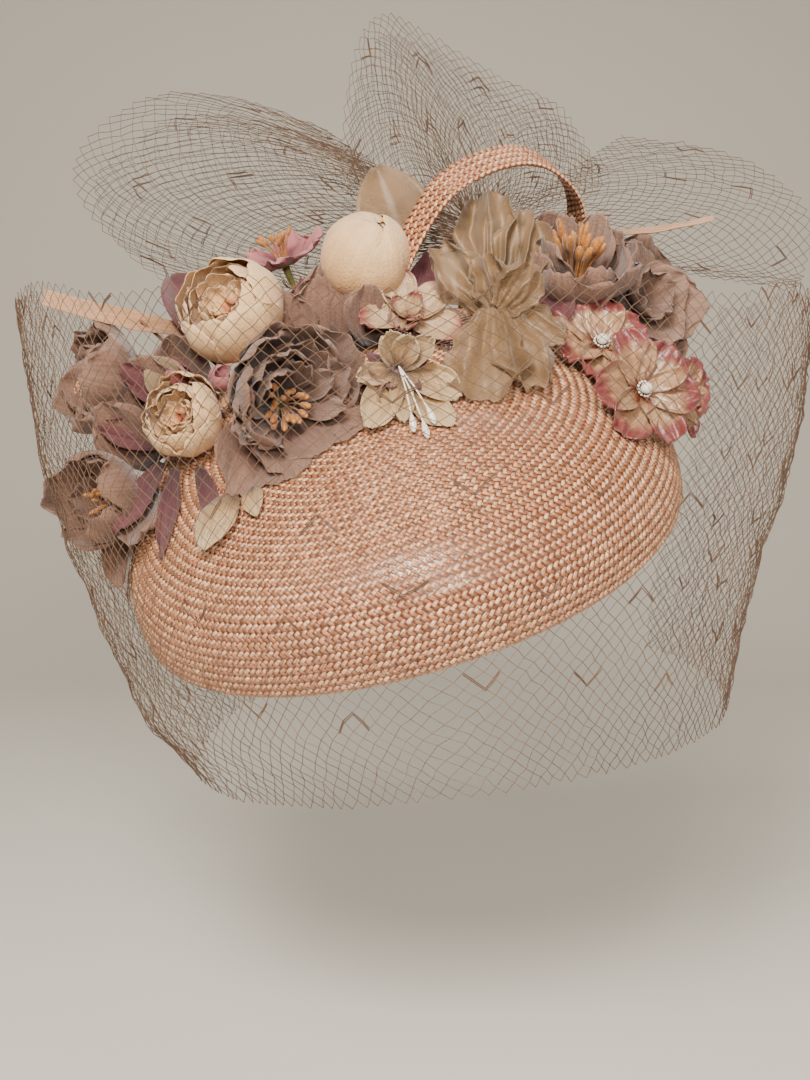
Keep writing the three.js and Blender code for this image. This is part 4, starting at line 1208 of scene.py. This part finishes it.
def addLeaf(bm, base, tip, faces, width, fold, arch, seed=1, square=False):
    run = tip - base
    length = run.length
    along = run.normalized()
    side = Vector(faces).cross(along).normalized()
    face = along.cross(side).normalized()
    layer = bm.loops.layers.uv.get("petal") or bm.loops.layers.uv.new("petal")
    made = bmesh.ops.create_grid(bm, x_segments=12, y_segments=20, size=1)
    for item in {item for vert in made["verts"] for item in vert.link_faces}:
        for loop in item.loops:
            loop[layer].uv = ((loop.vert.co.x + 1) / 2 + seed, (loop.vert.co.y + 1) / 2)
    for vert in made["verts"]:
        u, v = vert.co.x, (vert.co.y + 1) / 2
        if square:
            swell = min(1, 0.45 + 1.4 * v) * (1 - 0.3 * v)
        else:
            swell = math.sin(math.pi * (0.04 + 0.93 * v)) ** 0.8
        half = width / 2 * max(swell, 0.05)
        lift = abs(u) * half * fold * 2 + arch * math.sin(math.pi * v)
        lift += 0.5 * ripple(u * 3, v * 5, seed) + 0.25 * ripple(u * 12, v * 3, seed)
        vert.co = restOnCrown(base + along * (v * length) + side * (u * half) + face * lift, 0.9)


def makeLeafPieces():
    for seed, (name, item) in enumerate(leaves.items()):
        base, tip = above(*item["root"]), above(*item["tip"])
        bm = bmesh.new()
        addLeaf(bm, base.lerp(tip, -item.get("behind", 0)), tip, item["faces"], item["width"],
                item["fold"], item["arch"], seed, square=name.startswith("quill"))
        if name == "satinLeaf":
            addLeaf(bm, above(214, 0.5, 1.2), above(226, 0.6, 1.5), item["faces"], 8, 0.1, 0.8, seed + 9)
        makePiece(name, meshFrom(bm), item["finish"], wall=0.35)
        degrees, out, _ = item["root"]
        line = [(base.lerp(tip, 0.12), 1.0), (base.lerp(above(degrees, out, 0.4), 0.5), 1.0),
                (above(degrees, out, 0.4), 1.0)]
        if name == "satinLeaf":
            line = [(base.lerp(tip, 0.1), 0.8), (base, 0.8), (above(200, 0.46, 1.2), 0.8)]
        wireTone = quillFinish if name.startswith("quill") else plumStemFinish
        makePiece(name + "Wire", threadMesh([line], 0.6, sides=8), wireTone)


def makeBuds():
    top = above(150, 0.57, 14)
    foot = above(150, 0.57, 0.4)
    draw = random.Random(13)
    bm = bmesh.new()
    for index, shift in enumerate((-4.2, 4.2)):
        place = facing(top + Vector((shift * 1.05, -3.5, 0.5)), (0.3 * shift, -0.5, 1.0))
        shape = petalShape(length=11, width=8, open=80, tip=-40, cup=3.4, ruffle=0.2, crease=0.2, root=0.4,
                           across=8, along=10)
        addRing(bm, place, 4, 30 * index, shape, draw)
    makePiece("pinkBuds", meshFrom(bm), roseFinish, wall=0.15)
    lines = [[(foot, 1), (foot.lerp(top, 0.5), 1), (top, 1)]]
    lines += [[(top, 1), (top + Vector((shift, -2.5, 0.5)), 1)] for shift in (-4, 4)]
    makePiece("pinkBudTwig", threadMesh(lines, 0.8, sides=8), plumStemFinish)


makeLeafPieces()
makeBuds()
print("leaves, quills and buds are made")


# ---- draped organza ----

drapes = {
    # foot, tip, way it faces, half width, folds, depth of the folds, and how it narrows at the foot
    "organzaRuffleBack": {"spot": (22, 0.46, 14), "pieces": [
        ((31, -10, 72), (31, -3, 112), (-0.1, -1, 0.1), 11, 1.9, 3.6, 0.5),
        ((37, -12, 70), (45, -6, 106), (0.25, -1, 0.1), 10, 2.3, 3.4, 0.5),
        ((31, -13, 70), (13, -10, 92), (-0.4, -1, 0.2), 10, 1.7, 3.0, 0.4),
        ((35, -16, 69), (28, -22, 88), (-0.1, -1, 0.3), 8, 2.6, 2.6, 0.6)]},
    "organzaRuffleFront": {"spot": (18, 0.45, 12), "pieces": [
        ((31, -20, 71), (27, -42, 40), (-0.1, -0.8, 0.6), 15, 1.3, 2.6, 0.22),
        ((36, -20, 70), (46, -38, 44), (0.2, -0.8, 0.6), 12, 1.7, 2.6, 0.24),
        ((38, -18, 74), (57, -22, 60), (0.5, -0.9, 0.2), 8, 1.3, 2.2, 0.4),
        ((35, -20, 70), (45, -26, 84), (0.2, -0.9, 0.3), 9, 2.4, 2.0, 0.5)]},
}


def addDrape(bm, base, tip, faces, half, folds, depth, foot, seed):
    # a strip of cloth gathered at its foot, with folds that open towards its free edge
    run = tip - base
    along = run.normalized()
    side = Vector(faces).cross(along).normalized()
    out = along.cross(side).normalized()
    made = bmesh.ops.create_grid(bm, x_segments=40, y_segments=34, size=1)
    for vert in made["verts"]:
        u, v = vert.co.x, (vert.co.y + 1) / 2
        spread = half * (foot + (1 - foot) * math.sin(math.pi / 2 * min(v * 1.25, 1)))
        spread *= math.sqrt(max(0.05, 1 - (max(v - 0.62, 0) / 0.42) ** 2 * 0.72))
        spread *= 1 + 0.3 * ripple(v * 5, seed, math.copysign(3, u))
        reach = v * (1 - 0.12 * abs(u) ** 2 + 0.1 * ripple(u * 3.4, seed, 1))
        phase = seed * 1.9 + 0.8 * v
        fold = depth * v ** 0.8 * math.sin(math.pi * folds * u + phase)
        small = math.sin(math.pi * folds * 2.1 * u + seed) * math.sin(math.pi * min(v * 1.1, 1))
        fold += 0.45 * depth * small
        fold += 1.4 * ripple(u * 2.4, v * 2.4, seed * 3.3)
        fold += 0.7 * ripple(u * 6, v * 7, seed * 1.7)
        fold += 1.7 * u * u * v * math.sin(11 * v + 2 * seed + 2 * u)
        curl = depth * 0.9 * v * v * math.cos(seed * 2.3 + 2 * u)
        slide = 0.35 * depth * v * math.cos(math.pi * folds * u + phase)
        spot = base + along * (reach * run.length) + side * (u * spread + slide) + out * (fold + curl)
        vert.co = restOnCrown(spot, 1 + 0.15 * (seed % 5))


def makeDrapes():
    for name, drape in drapes.items():
        bm = bmesh.new()
        for seed, (base, tip, faces, half, folds, depth, foot) in enumerate(drape["pieces"]):
            addDrape(bm, Vector(base), Vector(tip), faces, half, folds, depth, foot, seed + len(name))
        makePiece(name, meshFrom(bm), organzaFinish, wall=0.12)
        degrees, out, lift = drape["spot"]
        wire = [(above(degrees, out, lift), 1), (above(degrees, out, 0.4), 1)]
        makePiece(name + "Wire", threadMesh([wire], 0.9, sides=8), stemFinish)


makeDrapes()
print("the organza is draped")


# ---- diamond-mesh veiling ----

net = {"cell": 5.0, "thread": 0.125, "mark": 0.22, "markEvery": 6, "markApart": 0.13, "wander": 0.6}


def netLines(surface, width, height, seed):
    # two families of slanting threads that cross in diamonds; surface(a, b) takes shares 0 to 1
    across = round(width / net["cell"])
    down = round(height / net["cell"])

    def crossing(a, b):
        drift = Vector([ripple(a * 0.9, b * 0.9, seed + apart) for apart in (0, 7, 13)])
        return surface(a / across, b / down) + drift * net["wander"] * 2

    lines = []
    halves = [half / 2 for half in range(2 * down + 1)]
    for start in range(-down, across + down + 1):
        for lean in (1, -1):
            line = [(crossing(start + lean * b, b), 1) for b in halves if 0 <= start + lean * b <= across]
            if len(line) > 1:
                lines.append(line)
    marks = []
    every = net["markEvery"]
    for row in range(1, down - 1, every):
        for column in range(1 + (row // every % 2) * (every // 2 + 1), across - 3, every + 1):
            drop = row + (column * 7 + row * 3) % 3 - 1
            if not 0 <= drop <= down - 2:
                continue
            heights = (0, 0.5, 1, 0.5, 0) if (row + column) % 3 else (1, 0.5, 0, 0.5, 1)
            for shift in (0, net["markApart"]):
                marks.append([(crossing(column + step / 2, drop + y + shift), 1)
                              for step, y in enumerate(heights)])
    return lines, marks


def makeNetPiece(name, layers):
    # layers are (lines, marks) of one piece of net; the marks are thicker doubled threads
    fine = [line for lines, _ in layers for line in lines]
    thick = [mark for _, marks in layers for mark in marks]
    mesh = joinMeshes([threadMesh(fine, net["thread"]), threadMesh(thick, net["mark"])])
    obj = makePiece(name, mesh, [netFinish, netMarkFinish], smooth=False)
    print(name, "has", len(obj.data.polygons), "faces, surface",
          round(sum(face.area for face in obj.data.polygons), 5), "square metres")
    return obj


netMarkFinish = clothMaterial("netMark", srgb(98, 68, 44), srgb(62, 40, 26), 0.7, sheen=0.1)

veil = {"topZ": 77, "height": 158, "squareness": 0.84, "centreY": 18, "frontY": -86.9,
        "from": -215, "to": 35, "waves": 9, "waveDepth": 2.5, "folds": 13, "foldDepth": 1.6,
        "slant": 0.13, "backRise": 6, "long": 560, "deep": 162}
# (share of the drop, half width beyond the crown's, reach forward of frontY, shift in X)
veilRings = [(0, 42, -23, 6), (0.3, 36, -10, 7.5), (0.5, 27, 2, 9), (0.62, 19, 6, 10), (0.85, 7, 9, 14),
             (1, -5, 6, 22)]


def ringValue(drop, column):
    for low, high in zip(veilRings, veilRings[1:]):
        if drop <= high[0] or high is veilRings[-1]:
            share = (drop - low[0]) / (high[0] - low[0])
            share = share * share * (3 - 2 * share) * 0.35 + share * 0.65
            return low[column] + (high[column] - low[column]) * share
    return 0


def squared(value):
    return math.copysign(abs(value) ** veil["squareness"], value)


def veilSurface(u, v):
    angle = math.radians(veil["from"] + (veil["to"] - veil["from"]) * u)
    halfX = crown["halfWidth"] + ringValue(v, 1)
    halfY = veil["centreY"] - (veil["frontY"] - ringValue(v, 2))
    x = ringValue(v, 3) + halfX * squared(math.cos(angle))
    wave = veil["waveDepth"] * math.sin(veil["waves"] * angle)
    lift = v * (veil["slant"] * x + veil["backRise"] * max(math.sin(angle), 0))
    fold = veil["foldDepth"] * math.sin(angle * veil["folds"] + 1.4 * v) * v * (1.2 - v)
    out = Vector((math.cos(angle), math.sin(angle), 0)) * fold
    return Vector((x, veil["centreY"] + halfY * squared(math.sin(angle)),
                   veil["topZ"] - v * veil["height"] + lift + wave * (1 - v))) + out


def makeVeilFront():
    layer = netLines(veilSurface, veil["long"], veil["deep"], 3)
    makeNetPiece("veilFront", [layer])


gather = {"degrees": 62, "share": 0.94, "lift": 34}


def gatherPoint(lift):
    # over the place where the net is drawn together
    return above(gather["degrees"], gather["share"], lift)


def fanSurface(root, corners, folds, mouth=5.0, turns=5, lean=0.0):
    side = (corners[-1] - corners[0]).normalized()

    def surface(u, v):
        far = catmull(corners, u)
        near = root + side * ((u - 0.5) * 2 * mouth)
        point = near.lerp(far, v ** 0.8)
        point.y += folds * math.sin(u * math.pi * turns + lean) * v * (1.15 - v) * 2
        return point
    return surface


def makeVeilFans():
    root = gatherPoint(gather["lift"])

    def corner(x, y, z):
        return root + Vector((x, y, z))

    bow = [corner(-54, 8, 21.6), corner(-50, 8, 62.6), corner(-38, 10, 84.2), corner(-15, 10, 75.6),
           corner(10, 12, 60.5), corner(33, 12, 49.7), corner(50, 14, 25.9)]
    back = [point + Vector((2, 9, -5)) for point in bow]
    layers = [netLines(fanSurface(corner(0, 3, 6), bow, 7), 190, 78, 21),
              netLines(fanSurface(corner(0, 8, 5), back, 8, turns=6, lean=1), 190, 74, 25)]
    makeNetPiece("veilBowTop", layers)
    loop = [corner(-96, 40, -24), corner(-150, 52, 0), corner(-168, 56, 34), corner(-140, 56, 60),
            corner(-100, 50, 60), corner(-62, 40, 46)]
    behind = [point + Vector((8, 6, -8)) for point in loop]
    layers = [netLines(fanSurface(corner(-6, 4, -1), loop, 7), 170, 120, 31),
              netLines(fanSurface(corner(-6, 7, -2), behind, 7, turns=4, lean=1), 160, 112, 37)]
    makeNetPiece("veilLoopLeft", layers)
    wing = [corner(58, 22, 40), corner(84, 22, 37), corner(112, 18, 28), corner(130, 14, 12),
            corner(126, -8, -14), corner(116, -30, -24)]
    layers = [netLines(fanSurface(corner(6, 2, -1), wing, 6), 130, 110, 41)]
    makeNetPiece("veilWingRight", layers)


def makeVeilKnot():
    # the net is drawn together, bound round with its own thread and tied down
    root = gatherPoint(gather["lift"])
    foot = gatherPoint(0.4)
    draw = random.Random(7)
    lines = []
    for index in range(26):
        turn = 2 * math.pi * index / 26
        spread = Vector((math.cos(turn), 0.7 * math.sin(turn), 0))
        lines.append([(foot + spread * 2.2, 1), (root.lerp(foot, 0.5) + spread * 2.6, 1),
                      (root + spread * draw.uniform(4.2, 5.6) - Vector((0, 0, 2)), 1),
                      (root + spread * draw.uniform(2, 3.5) + Vector((0, 0, 4.6)), 1)])
    bound = []
    for step in range(60):
        turn = step / 60 * math.pi * 10
        bound.append((root + Vector((3.6 * math.cos(turn), 3.0 * math.sin(turn), -6.5 + step * 0.05)), 1))
    core = threadMesh([[(foot, 0.55), (root.lerp(foot, 0.5), 0.6), (root - Vector((0, 0, 2)), 1.0),
                        (root + Vector((0, 0, 3)), 0.8)]], 4.2, sides=16)
    mesh = joinMeshes([core, threadMesh(lines + [bound], 0.5, sides=6)])
    makePiece("veilKnot", mesh, [netFinish, netMarkFinish])


makeVeilFront()
makeVeilFans()
makeVeilKnot()
print("the net is knotted")
